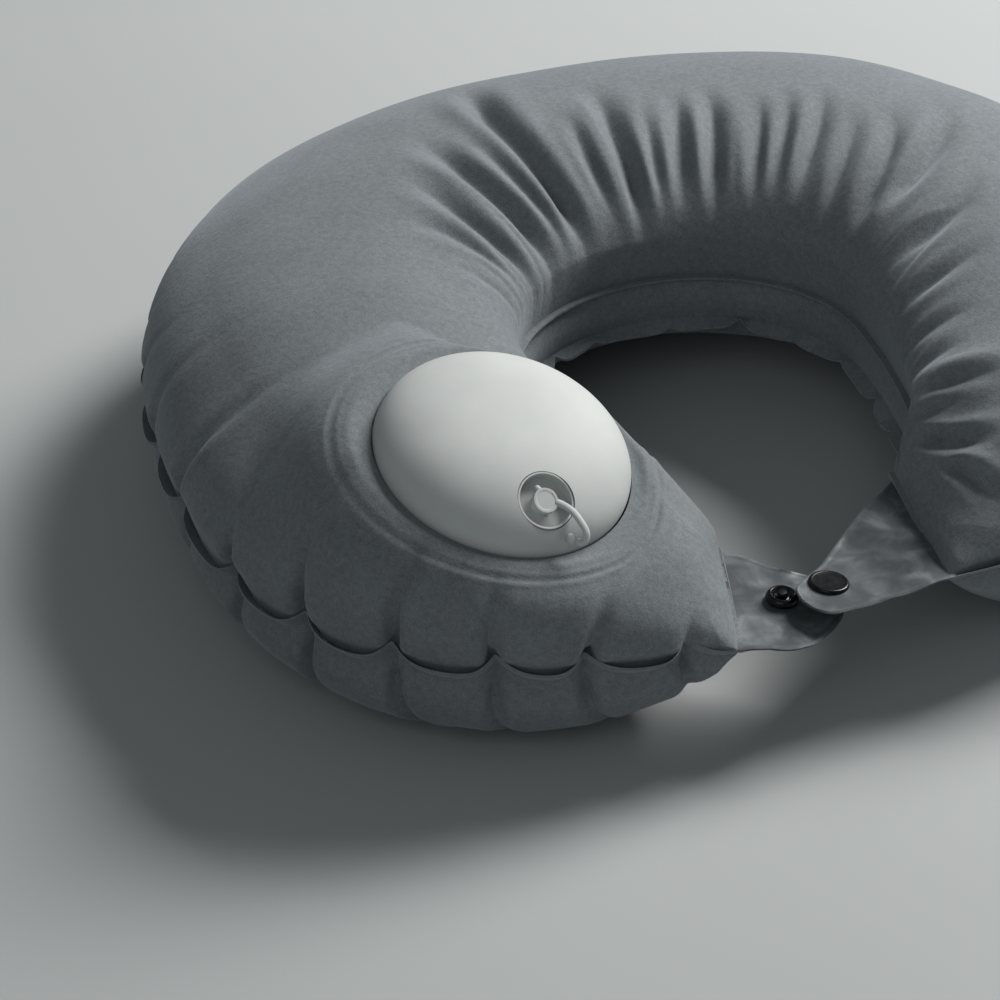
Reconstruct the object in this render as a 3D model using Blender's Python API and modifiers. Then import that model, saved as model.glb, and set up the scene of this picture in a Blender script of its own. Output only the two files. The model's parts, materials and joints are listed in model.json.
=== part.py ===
# Inflatable U-shaped neck pillow with a press pump in its left lobe and a snap tab on each lobe tip.
# Metres, +Z up.  It lies on its underside, the closed back of the U towards +Y, the tabs towards -Y.
import math

import bmesh
import bpy
from mathutils import Matrix, Vector

MM = 0.001
GAP = 0.3 * MM                   # left between pieces that touch
HALF_GAP = GAP / 2

# Plan of the welded seams, from the centre of the neck hole
HALF_WIDTH = 190 * MM
BACK_REACH = 204.3 * MM
BELLY_Y = -9 * MM                # where the pillow is widest
TIP_OUTER = Vector((44.2 * MM, -144.1 * MM))
TIP_INNER = Vector((28.7 * MM, -90.8 * MM))
NECK_HALF_WIDTH = 65.7 * MM
NECK_BACK = 58.8 * MM
BACK_SQUARENESS = 2.3
FRONT_SQUARENESS = 2.4

# Section of the tube
FILM = 1.0 * MM
OUTER_SEAM_Z = 38.2 * MM
INNER_TOP_SEAM_Z = 52.7 * MM
INNER_BOTTOM_SEAM_Z = 34.7 * MM
BODY_TOP_Z = 95.9 * MM
TIP_TOP_Z = 84.8 * MM
FULLNESS = 2.3                   # exponent of the section, 2 is an ellipse
UNDERCUT_FULLNESS = 1.4          # the underside draws back from the neck almost straight
REST_FLATTENING = 1.04           # how far the underside would pass the floor if it stayed round
TIP_START = 0.8                  # share of each half that runs at full height
SHOULDER_LENGTH = 0.35           # share over which the top falls from body to tip height
OVERHANG_INNER = 5 * MM          # how far the inflated film stands out over its seams
OVERHANG_OUTER = 3 * MM
BULGE_ROWS = 6                   # grid rows at each seam that the overhang takes
OUTER_MARGIN = 6 * MM            # weld margins outside the seams
TOP_LIP = 3 * MM
BOTTOM_LIP = 5 * MM

BODY_COLUMNS = 24                # grid columns in each half, then those of the rounded tip
TIP_COLUMNS = 7
PANEL_COLUMNS = 2 * (BODY_COLUMNS + TIP_COLUMNS)
ROWS = 14
GUSSET_INSET = 3                 # columns by which the neck-side gusset stops short of each tip
GUSSET_ROWS = 5
GUSSET_TIP_SLACK = 2.8 * MM      # the lips slope there, so the films take more height

# Press pump, in its own frame: z along the push axis, zero at the panel's outer face
PUMP_AT = Vector((-100.9 * MM, -77.2 * MM, 86.3 * MM))
PUMP_LEAN_X = math.radians(15.8)
PUMP_LEAN_Y = math.radians(10.1)
DOME_RADIUS = 43.5 * MM
DOME_HEIGHT = 19.6 * MM
DOME_WALL = 1.6 * MM
DOME_SKIRT = 1.0 * MM
DOME_SQUARENESS = 2.23
OPENING_RADIUS = 44.2 * MM
LAND_RADIUS = 50 * MM            # the panel lies flat on the pump out to here
LAND_FADE = 10 * MM
RING_OUTER = 46.0 * MM
RING_DROP = 2.2 * MM              # the panel's underside sags a little over the ring
RING_THICKNESS = 1.2 * MM
TRAY_WALL_RADIUS = 44.4 * MM
TRAY_WALL = 1.0 * MM
TRAY_DEPTH = 12 * MM
TRAY_FLOOR = 1.5 * MM
FOAM_RADIUS = 38 * MM
FOAM_HEADROOM = 1.0 * MM         # free height under the dome
FOAM_EDGE = 2 * MM
FOAM_INLET_ROOM = 2 * MM         # round the inlet cup
OPENING_CUT = (-20 * MM, 30 * MM)
INLET_CUT = (-14 * MM, 14 * MM)

# Air inlet with its plug, on the dome's front flank
INLET_ANGLE = math.radians(-86.2)
INLET_RADIUS = 31.5 * MM
INLET_LEAN = math.radians(24.2)
CUP_RADIUS = 9.7 * MM
CUP_SINK = 1.0 * MM
CUP_FLOOR = 1.2 * MM
RECESS_RADIUS = 9.0 * MM
RECESS_DEPTH = 3.9 * MM
NECK_RADIUS = 3.6 * MM
NECK_RISE = 2.0 * MM
BORE_RADIUS = 2.35 * MM
THROAT_DEPTH = 8.0 * MM
PLUG_RADIUS = 4.25 * MM
PLUG_THICKNESS = 1.8 * MM
PLUG_CHAMFER = 0.5 * MM
STEM_RADIUS = 2.15 * MM
STEM_LENGTH = 4.4 * MM
STEM_LEAD = 0.4 * MM
FLAP_THICKNESS = 0.8 * MM
INLET_FLAP_RADIUS = 3.4 * MM
ANCHOR_ANGLE = math.radians(-76)
ANCHOR_RADIUS = 2.0 * MM
ANCHOR_HEIGHT = 1.2 * MM
ANCHOR_EDGE = 0.8 * MM
ANCHOR_REACH = 41.8 * MM
ANCHOR_LEAN = math.radians(59)
TETHER_RADIUS = 1.0 * MM
TETHER_TOP = 1.4 * MM            # where it meets the anchor
# The strap leaves the plug, passes over the cup's rim (inlet frame) and curls back to the anchor (anchor frame)
TETHER_OVER_CUP = [(1.9, 4.6, -1.7), (3.9, 7.4, 0.9), (7.2, 9.7, 1.9), (10.2, 9.9, 0.6)]
TETHER_BEND = (-1.4, 4.6, 1.8)

# Air outlet in the middle of the pump's tray
OUTLET_BORE = 4.5 * MM
OUTLET_BARREL = 7.0 * MM
OUTLET_FLANGE = 9.5 * MM
OUTLET_FLANGE_THICKNESS = 1.2 * MM
OUTLET_FLAP_RADIUS = 6.3 * MM
OUTLET_DROP = 1.5 * MM           # barrel below the tray's floor

# Tabs and their press stud
TAB_THICKNESS = 1.3 * MM
TAB_ROOT_GAP = 0.4 * MM
LEFT_TAB_DROOP = math.radians(4)
RIGHT_TAB_RISE = math.radians(7)
POST_HOLE = 1.3 * MM
POST_RADIUS = 0.95 * MM
STUD_AT = (11.7 * MM, -0.6 * MM)
CAP_AT = (35.2 * MM, 3.1 * MM)
CAP_RADIUS = 6.9 * MM
CAP_THICKNESS = 1.5 * MM
STUD_RADIUS = 5.6 * MM
STUD_RIM_RADIUS = 4.2 * MM       # crest of the stud's ring
STUD_RIM_HEIGHT = 2.8 * MM
STUD_KNOB_RADIUS = 1.9 * MM
STUD_KNOB_HEIGHT = 3.4 * MM
STUD_VALLEY_HEIGHT = 1.4 * MM
BACK_CAP_RADIUS = 6.2 * MM
BACK_CAP_THICKNESS = 1.2 * MM
SOCKET_THICKNESS = 3.1 * MM
SOCKET_MOUTH = 2.4 * MM
SOCKET_CEILING = 1.7 * MM
POST_SOCKET_DEPTH = 1.1 * MM
SNAP_CHAMFER = 0.4 * MM
# Outlines from the bend line: distance out from the lobe, distance towards the neck
LEFT_TAB_OUTLINE = [(0, -26.5), (14, -26.3), (22.5, -20.5), (30, -9.5), (34, 2), (30, 11), (22, 15.4), (7, 21),
                    (0, 26.5)]
RIGHT_TAB_OUTLINE = [(0, -26), (7, -19.5), (14.7, -16.2), (28, -13.8), (43.5, -10.6), (51.5, -10), (54, -6),
                     (51, 1.5), (42, 8.2), (30.5, 12.8), (21, 18), (9, 24), (0, 26.5)]

# From the end of a lobe straight across the mouth, on the right; the left is its mirror
TIP_LINE = TIP_INNER - TIP_OUTER
ACROSS_MOUTH = Vector((-TIP_LINE.y, TIP_LINE.x)).normalized()

# The object's box is centred on the origin, so the neck's centre lies a little in front of it
BACK_EDGE = BELLY_Y + BACK_REACH + OUTER_MARGIN
FRONT_EDGE = TIP_OUTER.y - OUTER_MARGIN + ACROSS_MOUTH.y * OUTER_MARGIN
PLAN_SHIFT = Vector((0, -(BACK_EDGE + FRONT_EDGE) / 2, 0))

ROUND_STEPS = 40
SMALL_ROUND_STEPS = 20
OPENING_STEPS = 64
DOME_STEPS = 8
HOLE_STEPS = 16
CURVE_STEPS = 5
MERGE_DISTANCE = 0.01 * MM


def clear_scene():
    for item in list(bpy.data.objects):
        bpy.data.objects.remove(item, do_unlink=True)


def new_collection(name):
    collection = bpy.data.collections.new(name)
    bpy.context.scene.collection.children.link(collection)
    return collection


def new_material(name, colour, roughness, metallic=0.0):
    material = bpy.data.materials.new(name)
    material.use_nodes = True
    shader = material.node_tree.nodes["Principled BSDF"]
    shader.inputs["Base Color"].default_value = (*colour, 1.0)
    shader.inputs["Roughness"].default_value = roughness
    shader.inputs["Metallic"].default_value = metallic
    material.diffuse_color = (*colour, 1.0)
    return material


def add_part(name, data, material, frame=None):
    part = bpy.data.objects.new(name, data)
    data.materials.append(material)
    parts.objects.link(part)
    part.matrix_world = frame or Matrix.Identity(4)
    return part


# ---- shapes that several pieces share

def turned(name, profile, material, frame, closed=False, steps=ROUND_STEPS):
    # profile: (radius, height) points, down the outer side; closed joins its last point to its first
    mesh = bpy.data.meshes.new(name)
    points = [(radius, 0, height) for radius, height in profile]
    edges = [(i, i + 1) for i in range(len(points) - 1)]
    if closed:
        edges.append((len(points) - 1, 0))
    mesh.from_pydata(points, edges, [])
    part = add_part(name, mesh, material, frame)
    screw = part.modifiers.new("turn", "SCREW")
    screw.steps = steps
    screw.render_steps = steps
    screw.use_merge_vertices = True
    screw.merge_threshold = MERGE_DISTANCE
    return part


def drill(part, name, radius, depth_range, frame, steps=ROUND_STEPS):
    low, high = depth_range
    mesh = bpy.data.meshes.new(name)
    cylinder = bmesh.new()
    bmesh.ops.create_cone(cylinder, cap_ends=True, segments=steps, radius1=radius, radius2=radius, depth=high - low)
    cylinder.to_mesh(mesh)
    cylinder.free()
    cutter = bpy.data.objects.new(name, mesh)
    cutters.objects.link(cutter)
    cutter.matrix_world = frame @ Matrix.Translation((0, 0, (low + high) / 2))
    cutter.hide_render = True
    cutter.display_type = "WIRE"
    cut = part.modifiers.new(name, "BOOLEAN")
    cut.operation = "DIFFERENCE"
    cut.object = cutter
    cut.solver = "EXACT"


def mapped_sheet(name, columns, rows, place, material, flip):
    # a film: a flat grid laid over the surface that place(column, row) gives, then thickened inwards
    mesh = bpy.data.meshes.new(name)
    grid = bmesh.new()
    bmesh.ops.create_grid(grid, x_segments=columns, y_segments=rows, size=1.0)
    for vertex in grid.verts:
        column = round((vertex.co.x + 1) / 2 * columns)
        row = round((vertex.co.y + 1) / 2 * rows)
        vertex.co = place(column, row)
    if flip:
        bmesh.ops.reverse_faces(grid, faces=grid.faces)
    grid.to_mesh(mesh)
    grid.free()
    mesh.shade_smooth()
    part = add_part(name, mesh, material)
    wall = part.modifiers.new("film", "SOLIDIFY")
    wall.thickness = FILM
    wall.offset = -1
    return part


# ---- the envelope's seams and sections; s runs from -1 at the left tip, over the back, to 1

def superellipse(angle, squareness):
    across = max(math.sin(angle), 0) ** (2 / squareness)
    along = max(math.cos(angle), 0) ** (2 / squareness)
    return across, along


def outer_seam(s):
    share = abs(s)
    if share <= 0.5:
        across, along = superellipse(share * math.pi, BACK_SQUARENESS)
        x = HALF_WIDTH * across
        y = BELLY_Y + BACK_REACH * along
    else:
        across, along = superellipse((share - 0.5) * math.pi, FRONT_SQUARENESS)
        x = TIP_OUTER.x + (HALF_WIDTH - TIP_OUTER.x) * along
        y = BELLY_Y + (TIP_OUTER.y - BELLY_Y) * across
    return Vector((math.copysign(x, s), y))


def inner_seam(s):
    angle = abs(s) * math.pi
    if abs(s) <= 0.5:
        x = NECK_HALF_WIDTH * math.sin(angle)
        y = NECK_BACK * math.cos(angle)
    else:
        turn = angle - math.pi / 2
        x = NECK_HALF_WIDTH + (TIP_INNER.x - NECK_HALF_WIDTH) * (1 - math.cos(turn))
        y = TIP_INNER.y * math.sin(turn)
    return Vector((math.copysign(x, s), y))


def seam_normal(seam, s, left_turn):
    # unit vector square to a seam in plan
    step = 0.002
    ahead = seam(min(s + step, 1.0))
    behind = seam(max(s - step, -1.0))
    run = (ahead - behind).normalized()
    return Vector((-run.y, run.x)) if left_turn else Vector((run.y, -run.x))


def outward(s):
    return seam_normal(outer_seam, s, left_turn=True)


def neckward(s):
    return seam_normal(inner_seam, s, left_turn=False)


def tip_direction(side):
    # side is -1 for the left lobe and 1 for the right
    return Vector((ACROSS_MOUTH.x * side, ACROSS_MOUTH.y))


def tip_factor(s):
    past = max((abs(s) - TIP_START) / (1 - TIP_START), 0)
    return math.sqrt(max(1 - past * past, 0))


def inner_seam_z(s, full_z):
    return OUTER_SEAM_Z + (full_z - OUTER_SEAM_Z) * tip_factor(s)


def top_height(s):
    share = abs(s)
    if share <= 0.5:
        return BODY_TOP_Z
    fall = min((share - 0.5) / SHOULDER_LENGTH, 1)
    return BODY_TOP_Z + (TIP_TOP_Z - BODY_TOP_Z) * fall


def crown(t, fullness):
    return (1 - abs(2 * t - 1) ** fullness) ** (1 / fullness)


def station(column):
    # the s of a grid column, counted from the left tip; the columns close up towards the tips
    index = column - BODY_COLUMNS - TIP_COLUMNS
    past = abs(index) - BODY_COLUMNS
    if past <= 0:
        return TIP_START * index / BODY_COLUMNS
    turn = math.sin(past / TIP_COLUMNS * math.pi / 2)
    return math.copysign(TIP_START + (1 - TIP_START) * turn, index)


def row_share(row):
    # 0 at the outer seam and 1 at the inner seam; the rows close up towards both
    return (1 - math.cos(row / ROWS * math.pi)) / 2


def land_on_pump(point):
    # the panel lies flat on the pump's rim plane and fades into the tube around it
    local = PUMP_FRAME.inverted() @ point
    radius = math.hypot(local.x, local.y)
    fade = min(max((radius - LAND_RADIUS) / LAND_FADE, 0), 1)
    weight = 1 - fade * fade * (3 - 2 * fade)
    up = PUMP_FRAME.to_3x3() @ Vector((0, 0, 1))
    plane_z = PUMP_FRAME.translation.z - (
        up.x * (point.x - PUMP_FRAME.translation.x) + up.y * (point.y - PUMP_FRAME.translation.y)) / up.z
    point.z = point.z * (1 - weight) + plane_z * weight
    return point


def panel_point(column, row, top):
    # grid of a panel: one column past each tip and one row past each seam are its weld margins
    column -= 1
    row -= 1
    inner_column = min(max(column, 0), PANEL_COLUMNS)
    inner_row = min(max(row, 0), ROWS)
    s = station(inner_column)
    t = row_share(inner_row)
    plan = outer_seam(s).lerp(inner_seam(s), t)
    inner_full_z = INNER_TOP_SEAM_Z if top else INNER_BOTTOM_SEAM_Z
    inner_z = inner_seam_z(s, inner_full_z)
    seam_z = OUTER_SEAM_Z + (inner_z - OUTER_SEAM_Z) * t
    half_span = (OUTER_SEAM_Z + inner_z) / 2
    bulge = tip_factor(s) * math.sin(math.pi * min(min(inner_row, ROWS - inner_row) / BULGE_ROWS, 1)) ** 2
    if t < 0.5:
        plan += outward(s) * OVERHANG_OUTER * bulge
    elif top:
        plan += neckward(s) * OVERHANG_INNER * bulge
    if top:
        height = (top_height(s) - half_span) * tip_factor(s) * crown(t, FULLNESS)
        z = seam_z + height
    else:
        fullness = FULLNESS if t < 0.5 else UNDERCUT_FULLNESS
        depth = half_span * REST_FLATTENING * tip_factor(s) * crown(t, fullness)
        z = max(seam_z - depth, FILM + HALF_GAP)
    point = Vector((plan.x, plan.y, z)) + PLAN_SHIFT
    if row < 0:
        point += (outward(s) * OUTER_MARGIN).to_3d()
    if row > ROWS:
        point += (neckward(s) * (TOP_LIP if top else BOTTOM_LIP)).to_3d()
    if column < 0 or column > PANEL_COLUMNS:
        point += (tip_direction(math.copysign(1, s)) * OUTER_MARGIN).to_3d()
    point.z += (FILM + HALF_GAP) * (1 if top else -1)
    if top and 0 < inner_row < ROWS:
        point = land_on_pump(point)
    return point


def gusset_point(column, row):
    # rows from the lower lip up the wall to the upper lip
    s = station(column + GUSSET_INSET)
    film_space = FILM + HALF_GAP + GUSSET_TIP_SLACK * (1 - tip_factor(s))
    low = inner_seam_z(s, INNER_BOTTOM_SEAM_Z) + film_space
    high = inner_seam_z(s, INNER_TOP_SEAM_Z) - film_space
    reach = {0: BOTTOM_LIP, GUSSET_ROWS: TOP_LIP}.get(row, 0)
    share = min(max((row - 1) / (GUSSET_ROWS - 2), 0), 1)
    plan = inner_seam(s) + neckward(s) * reach
    return Vector((plan.x, plan.y, low + (high - low) * share)) + PLAN_SHIFT


def build_envelope():
    top_panel = mapped_sheet("top_panel", PANEL_COLUMNS + 2, ROWS + 2,
                             lambda i, j: panel_point(i, j, True), flocked_film, flip=True)
    drill(top_panel, "pump_opening", OPENING_RADIUS, OPENING_CUT, PUMP_FRAME, steps=OPENING_STEPS)
    mapped_sheet("bottom_panel", PANEL_COLUMNS + 2, ROWS + 2,
                 lambda i, j: panel_point(i, j, False), flocked_film, flip=False)
    mapped_sheet("inner_gusset", PANEL_COLUMNS - 2 * GUSSET_INSET, GUSSET_ROWS,
                 gusset_point, flocked_film, flip=False)


# ---- the press pump

def dome_profile(radius, height, low_z):
    # from the crown down to the rim
    points = []
    for k in range(DOME_STEPS + 1):
        across, up = superellipse(k / DOME_STEPS * math.pi / 2, DOME_SQUARENESS)
        points.append((radius * across, height * up))
    points.append((radius, low_z))
    return points


def build_pump():
    outside = dome_profile(DOME_RADIUS, DOME_HEIGHT, -DOME_SKIRT)
    inside = dome_profile(DOME_RADIUS - DOME_WALL, DOME_HEIGHT - DOME_WALL, -DOME_SKIRT)
    bulb = turned("pump_bulb", outside + inside[::-1], moulded_bulb, PUMP_FRAME)
    drill(bulb, "inlet_opening", CUP_RADIUS + GAP, INLET_CUT, INLET_FRAME)

    ring_top = -FILM - RING_DROP
    ring_bottom = ring_top - RING_THICKNESS
    turned("pump_flange", [(OPENING_RADIUS, ring_top), (RING_OUTER, ring_top), (RING_OUTER, ring_bottom),
                           (OPENING_RADIUS, ring_bottom)], moulded_bulb, PUMP_FRAME, closed=True)

    rim_top = ring_bottom - GAP
    floor_top = -TRAY_DEPTH
    floor_bottom = floor_top - TRAY_FLOOR
    wall_outer = TRAY_WALL_RADIUS + TRAY_WALL
    hole = OUTLET_BARREL + GAP
    turned("pump_tray", [(TRAY_WALL_RADIUS, rim_top), (RING_OUTER, rim_top), (RING_OUTER, rim_top - TRAY_FLOOR),
                         (wall_outer, rim_top - TRAY_FLOOR), (wall_outer, floor_bottom), (hole, floor_bottom),
                         (hole, floor_top), (TRAY_WALL_RADIUS, floor_top)],
           moulded_tray, PUMP_FRAME, closed=True)

    barrel_bottom = floor_bottom - OUTLET_DROP
    flange_bottom = floor_top + GAP
    flange_top = flange_bottom + OUTLET_FLANGE_THICKNESS
    turned("outlet_valve_body", [(OUTLET_BORE, flange_top), (OUTLET_FLANGE, flange_top),
                                 (OUTLET_FLANGE, flange_bottom), (OUTLET_BARREL, flange_bottom),
                                 (OUTLET_BARREL, barrel_bottom), (OUTLET_BORE, barrel_bottom)],
           moulded_tray, PUMP_FRAME, closed=True, steps=SMALL_ROUND_STEPS)
    flap_top = -GAP
    flap_frame = PUMP_FRAME @ Matrix.Translation((OUTLET_FLAP_RADIUS, 0, barrel_bottom))
    disc("outlet_valve_flap", OUTLET_FLAP_RADIUS, flap_top, flap_frame, -OUTLET_FLAP_RADIUS)

    foam_top = dome_profile(DOME_RADIUS - DOME_WALL, DOME_HEIGHT - DOME_WALL - FOAM_HEADROOM, 0)
    foam_profile = [point for point in foam_top if point[0] < FOAM_RADIUS]
    foam_profile += [(FOAM_RADIUS, foam_profile[-1][1] - FOAM_EDGE), (FOAM_RADIUS, flange_top + GAP),
                     (0, flange_top + GAP)]
    foam = turned("pump_foam", foam_profile, open_cell_foam, PUMP_FRAME)
    drill(foam, "inlet_clearance", CUP_RADIUS + FOAM_INLET_ROOM, INLET_CUT, INLET_FRAME, steps=SMALL_ROUND_STEPS)


def disc(name, radius, top, frame, centre_x):
    # a valve flap whose origin is on its bend line
    mesh = bpy.data.meshes.new(name)
    flap = bmesh.new()
    place = Matrix.Translation((centre_x, 0, top - FLAP_THICKNESS / 2))
    bmesh.ops.create_cone(flap, cap_ends=True, segments=SMALL_ROUND_STEPS, radius1=radius, radius2=radius,
                          depth=FLAP_THICKNESS, matrix=place)
    flap.to_mesh(mesh)
    flap.free()
    add_part(name, mesh, flap_film, frame)


def build_inlet():
    rim = -CUP_SINK
    floor = rim - RECESS_DEPTH
    neck_top = floor + NECK_RISE
    floor_underside = floor - CUP_FLOOR
    turned("inlet_cup", [(RECESS_RADIUS, rim), (CUP_RADIUS, rim), (CUP_RADIUS, floor_underside),
                         (NECK_RADIUS, floor_underside), (NECK_RADIUS, -THROAT_DEPTH),
                         (BORE_RADIUS, -THROAT_DEPTH), (BORE_RADIUS, neck_top), (NECK_RADIUS, neck_top),
                         (NECK_RADIUS, floor), (RECESS_RADIUS, floor)],
           moulded_bulb, INLET_FRAME, closed=True)
    flap_frame = INLET_FRAME @ Matrix.Translation((-INLET_FLAP_RADIUS, 0, -THROAT_DEPTH))
    disc("inlet_flap", INLET_FLAP_RADIUS, -GAP, flap_frame, INLET_FLAP_RADIUS)

    head_bottom = neck_top + GAP
    head_top = head_bottom + PLUG_THICKNESS
    stem_end = head_bottom - STEM_LENGTH
    turned("inlet_plug", [(0, head_top), (PLUG_RADIUS - PLUG_CHAMFER, head_top),
                          (PLUG_RADIUS, head_top - PLUG_CHAMFER), (PLUG_RADIUS, head_bottom),
                          (STEM_RADIUS, head_bottom), (STEM_RADIUS, stem_end + STEM_LEAD),
                          (STEM_RADIUS - PLUG_CHAMFER, stem_end), (0, stem_end)],
           moulded_bulb, INLET_FRAME, steps=SMALL_ROUND_STEPS)

    turned("tether_anchor", [(0, ANCHOR_HEIGHT), (ANCHOR_RADIUS - PLUG_CHAMFER, ANCHOR_HEIGHT),
                             (ANCHOR_RADIUS, ANCHOR_EDGE), (ANCHOR_RADIUS, GAP), (0, GAP)],
           moulded_bulb, ANCHOR_FRAME, steps=SMALL_ROUND_STEPS)

    route = [INLET_FRAME @ (Vector(point) * MM) for point in TETHER_OVER_CUP]
    route += [ANCHOR_FRAME @ (Vector(TETHER_BEND) * MM), ANCHOR_FRAME @ Vector((0, ANCHOR_RADIUS + GAP, TETHER_TOP))]
    strap = bpy.data.curves.new("plug_tether", "CURVE")
    strap.dimensions = "3D"
    strap.bevel_depth = TETHER_RADIUS
    strap.bevel_resolution = 2
    strap.use_fill_caps = True
    strap.resolution_u = CURVE_STEPS
    spline = strap.splines.new("NURBS")
    spline.points.add(len(route) - 1)
    for point, place in zip(spline.points, route):
        point.co = (*place, 1.0)
    spline.order_u = 4
    spline.use_endpoint_u = True
    add_part("plug_tether", strap, moulded_bulb)


# ---- tabs and press stud

def tab_frame(side, at_top):
    # origin on the bend line at the end of the lobe's margin, x out across the mouth, z up
    out = tip_direction(side)
    middle = (TIP_OUTER + TIP_INNER) / 2
    start = Vector((middle.x * side, middle.y)) + out * (OUTER_MARGIN + HALF_GAP)
    height = OUTER_SEAM_Z + (FILM + HALF_GAP) * (1 if at_top else -1)
    turn = math.atan2(out.y, out.x)
    tilt = -RIGHT_TAB_RISE if at_top else LEFT_TAB_DROOP
    place = Matrix.Translation(Vector((start.x, start.y, height)) + PLAN_SHIFT)
    return place @ Matrix.Rotation(turn, 4, "Z") @ Matrix.Rotation(tilt, 4, "Y")


def add_tab(name, outline, side, hole_at, middle_z, frame):
    shape = bpy.data.curves.new(name, "CURVE")
    shape.dimensions = "2D"
    shape.fill_mode = "BOTH"
    shape.extrude = TAB_THICKNESS / 2
    shape.resolution_u = CURVE_STEPS
    edge = shape.splines.new("BEZIER")
    edge.use_cyclic_u = True
    edge.bezier_points.add(len(outline) - 1)
    for point, (out, towards_neck) in zip(edge.bezier_points, outline):
        point.co = (out * MM + TAB_ROOT_GAP, -side * towards_neck * MM, 0)
        point.handle_left_type = "AUTO"
        point.handle_right_type = "AUTO"
    for corner in (edge.bezier_points[0], edge.bezier_points[-1]):
        corner.handle_left_type = "VECTOR"
        corner.handle_right_type = "VECTOR"
    hole = shape.splines.new("POLY")
    hole.use_cyclic_u = True
    hole.points.add(HOLE_STEPS - 1)
    for k, point in enumerate(hole.points):
        angle = k / HOLE_STEPS * 2 * math.pi
        point.co = (hole_at[0] + POST_HOLE * math.cos(angle), -side * hole_at[1] + POST_HOLE * math.sin(angle), 0, 1)
    holder = bpy.data.objects.new(name + "_outline", shape)
    parts.objects.link(holder)
    evaluated = holder.evaluated_get(bpy.context.evaluated_depsgraph_get())
    mesh = bpy.data.meshes.new_from_object(evaluated)
    bpy.data.objects.remove(holder)
    welded = bmesh.new()
    welded.from_mesh(mesh)
    bmesh.ops.remove_doubles(welded, verts=welded.verts, dist=MERGE_DISTANCE)
    bmesh.ops.translate(welded, verts=welded.verts, vec=(0, 0, middle_z))
    bmesh.ops.recalc_face_normals(welded, faces=welded.faces)
    welded.to_mesh(mesh)
    welded.free()
    mesh.name = name
    add_part(name, mesh, flocked_film, frame)


def build_tabs():
    left_frame = tab_frame(-1, at_top=False)
    right_frame = tab_frame(1, at_top=True)
    middle = FILM + HALF_GAP
    add_tab("left_tab", LEFT_TAB_OUTLINE, -1, STUD_AT, middle, left_frame)
    add_tab("right_tab", RIGHT_TAB_OUTLINE, 1, CAP_AT, -middle, right_frame)

    half = TAB_THICKNESS / 2
    left_top = middle + half
    left_bottom = middle - half
    stud_base = left_top + GAP
    stud_place = left_frame @ Matrix.Translation((STUD_AT[0], STUD_AT[1], stud_base))
    rim_slope = STUD_RIM_HEIGHT - SNAP_CHAMFER
    turned("snap_stud", [(0, STUD_KNOB_HEIGHT), (STUD_KNOB_RADIUS - SNAP_CHAMFER, STUD_KNOB_HEIGHT),
                         (STUD_KNOB_RADIUS, STUD_KNOB_HEIGHT - SNAP_CHAMFER), (STUD_KNOB_RADIUS, STUD_VALLEY_HEIGHT),
                         (STUD_KNOB_RADIUS + 1.0 * MM, STUD_VALLEY_HEIGHT), (STUD_RIM_RADIUS - 0.8 * MM, rim_slope),
                         (STUD_RIM_RADIUS, STUD_RIM_HEIGHT), (STUD_RADIUS - 0.5 * MM, rim_slope),
                         (STUD_RADIUS, STUD_RIM_HEIGHT / 2), (STUD_RADIUS, 0), (POST_HOLE, 0),
                         (POST_HOLE, POST_SOCKET_DEPTH), (0, POST_SOCKET_DEPTH)],
           snap_plastic, stud_place, steps=SMALL_ROUND_STEPS)
    back_place = left_frame @ Matrix.Translation((STUD_AT[0], STUD_AT[1], 0))
    disc_top = left_bottom - GAP
    disc_bottom = disc_top - BACK_CAP_THICKNESS
    post_top = stud_base + POST_SOCKET_DEPTH - GAP
    turned("stud_back_cap", [(0, post_top), (POST_RADIUS, post_top), (POST_RADIUS, disc_top),
                             (BACK_CAP_RADIUS - SNAP_CHAMFER, disc_top), (BACK_CAP_RADIUS, disc_top - SNAP_CHAMFER),
                             (BACK_CAP_RADIUS - SNAP_CHAMFER, disc_bottom), (0, disc_bottom)],
           snap_plastic, back_place, steps=SMALL_ROUND_STEPS)

    cap_x, cap_y = CAP_AT
    right_top = -middle + half
    right_bottom = -middle - half
    cap_base = right_top + GAP
    socket_top = right_bottom - GAP
    cap_place = right_frame @ Matrix.Translation((cap_x, -cap_y, 0))
    cap_top = cap_base + CAP_THICKNESS
    post_end = socket_top - POST_SOCKET_DEPTH + GAP
    turned("snap_cap", [(0, cap_top), (CAP_RADIUS - 2 * SNAP_CHAMFER, cap_top), (CAP_RADIUS, cap_top - SNAP_CHAMFER),
                        (CAP_RADIUS, cap_base + SNAP_CHAMFER), (CAP_RADIUS - SNAP_CHAMFER, cap_base),
                        (POST_RADIUS, cap_base), (POST_RADIUS, post_end), (0, post_end)],
           snap_plastic, cap_place, steps=SMALL_ROUND_STEPS * 2)
    socket_place = cap_place @ Matrix.Translation((0, 0, socket_top))
    turned("snap_socket", [(0, -POST_SOCKET_DEPTH), (POST_HOLE, -POST_SOCKET_DEPTH), (POST_HOLE, 0),
                           (STUD_RADIUS - SNAP_CHAMFER, 0), (STUD_RADIUS, -SNAP_CHAMFER),
                           (STUD_RADIUS, SNAP_CHAMFER - SOCKET_THICKNESS),
                           (STUD_RADIUS - SNAP_CHAMFER, -SOCKET_THICKNESS), (SOCKET_MOUTH, -SOCKET_THICKNESS),
                           (SOCKET_MOUTH, -SOCKET_CEILING), (0, -SOCKET_CEILING)],
           snap_plastic, socket_place, steps=SMALL_ROUND_STEPS)


clear_scene()
parts = new_collection("neck_pillow")
cutters = new_collection("cutters")

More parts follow.
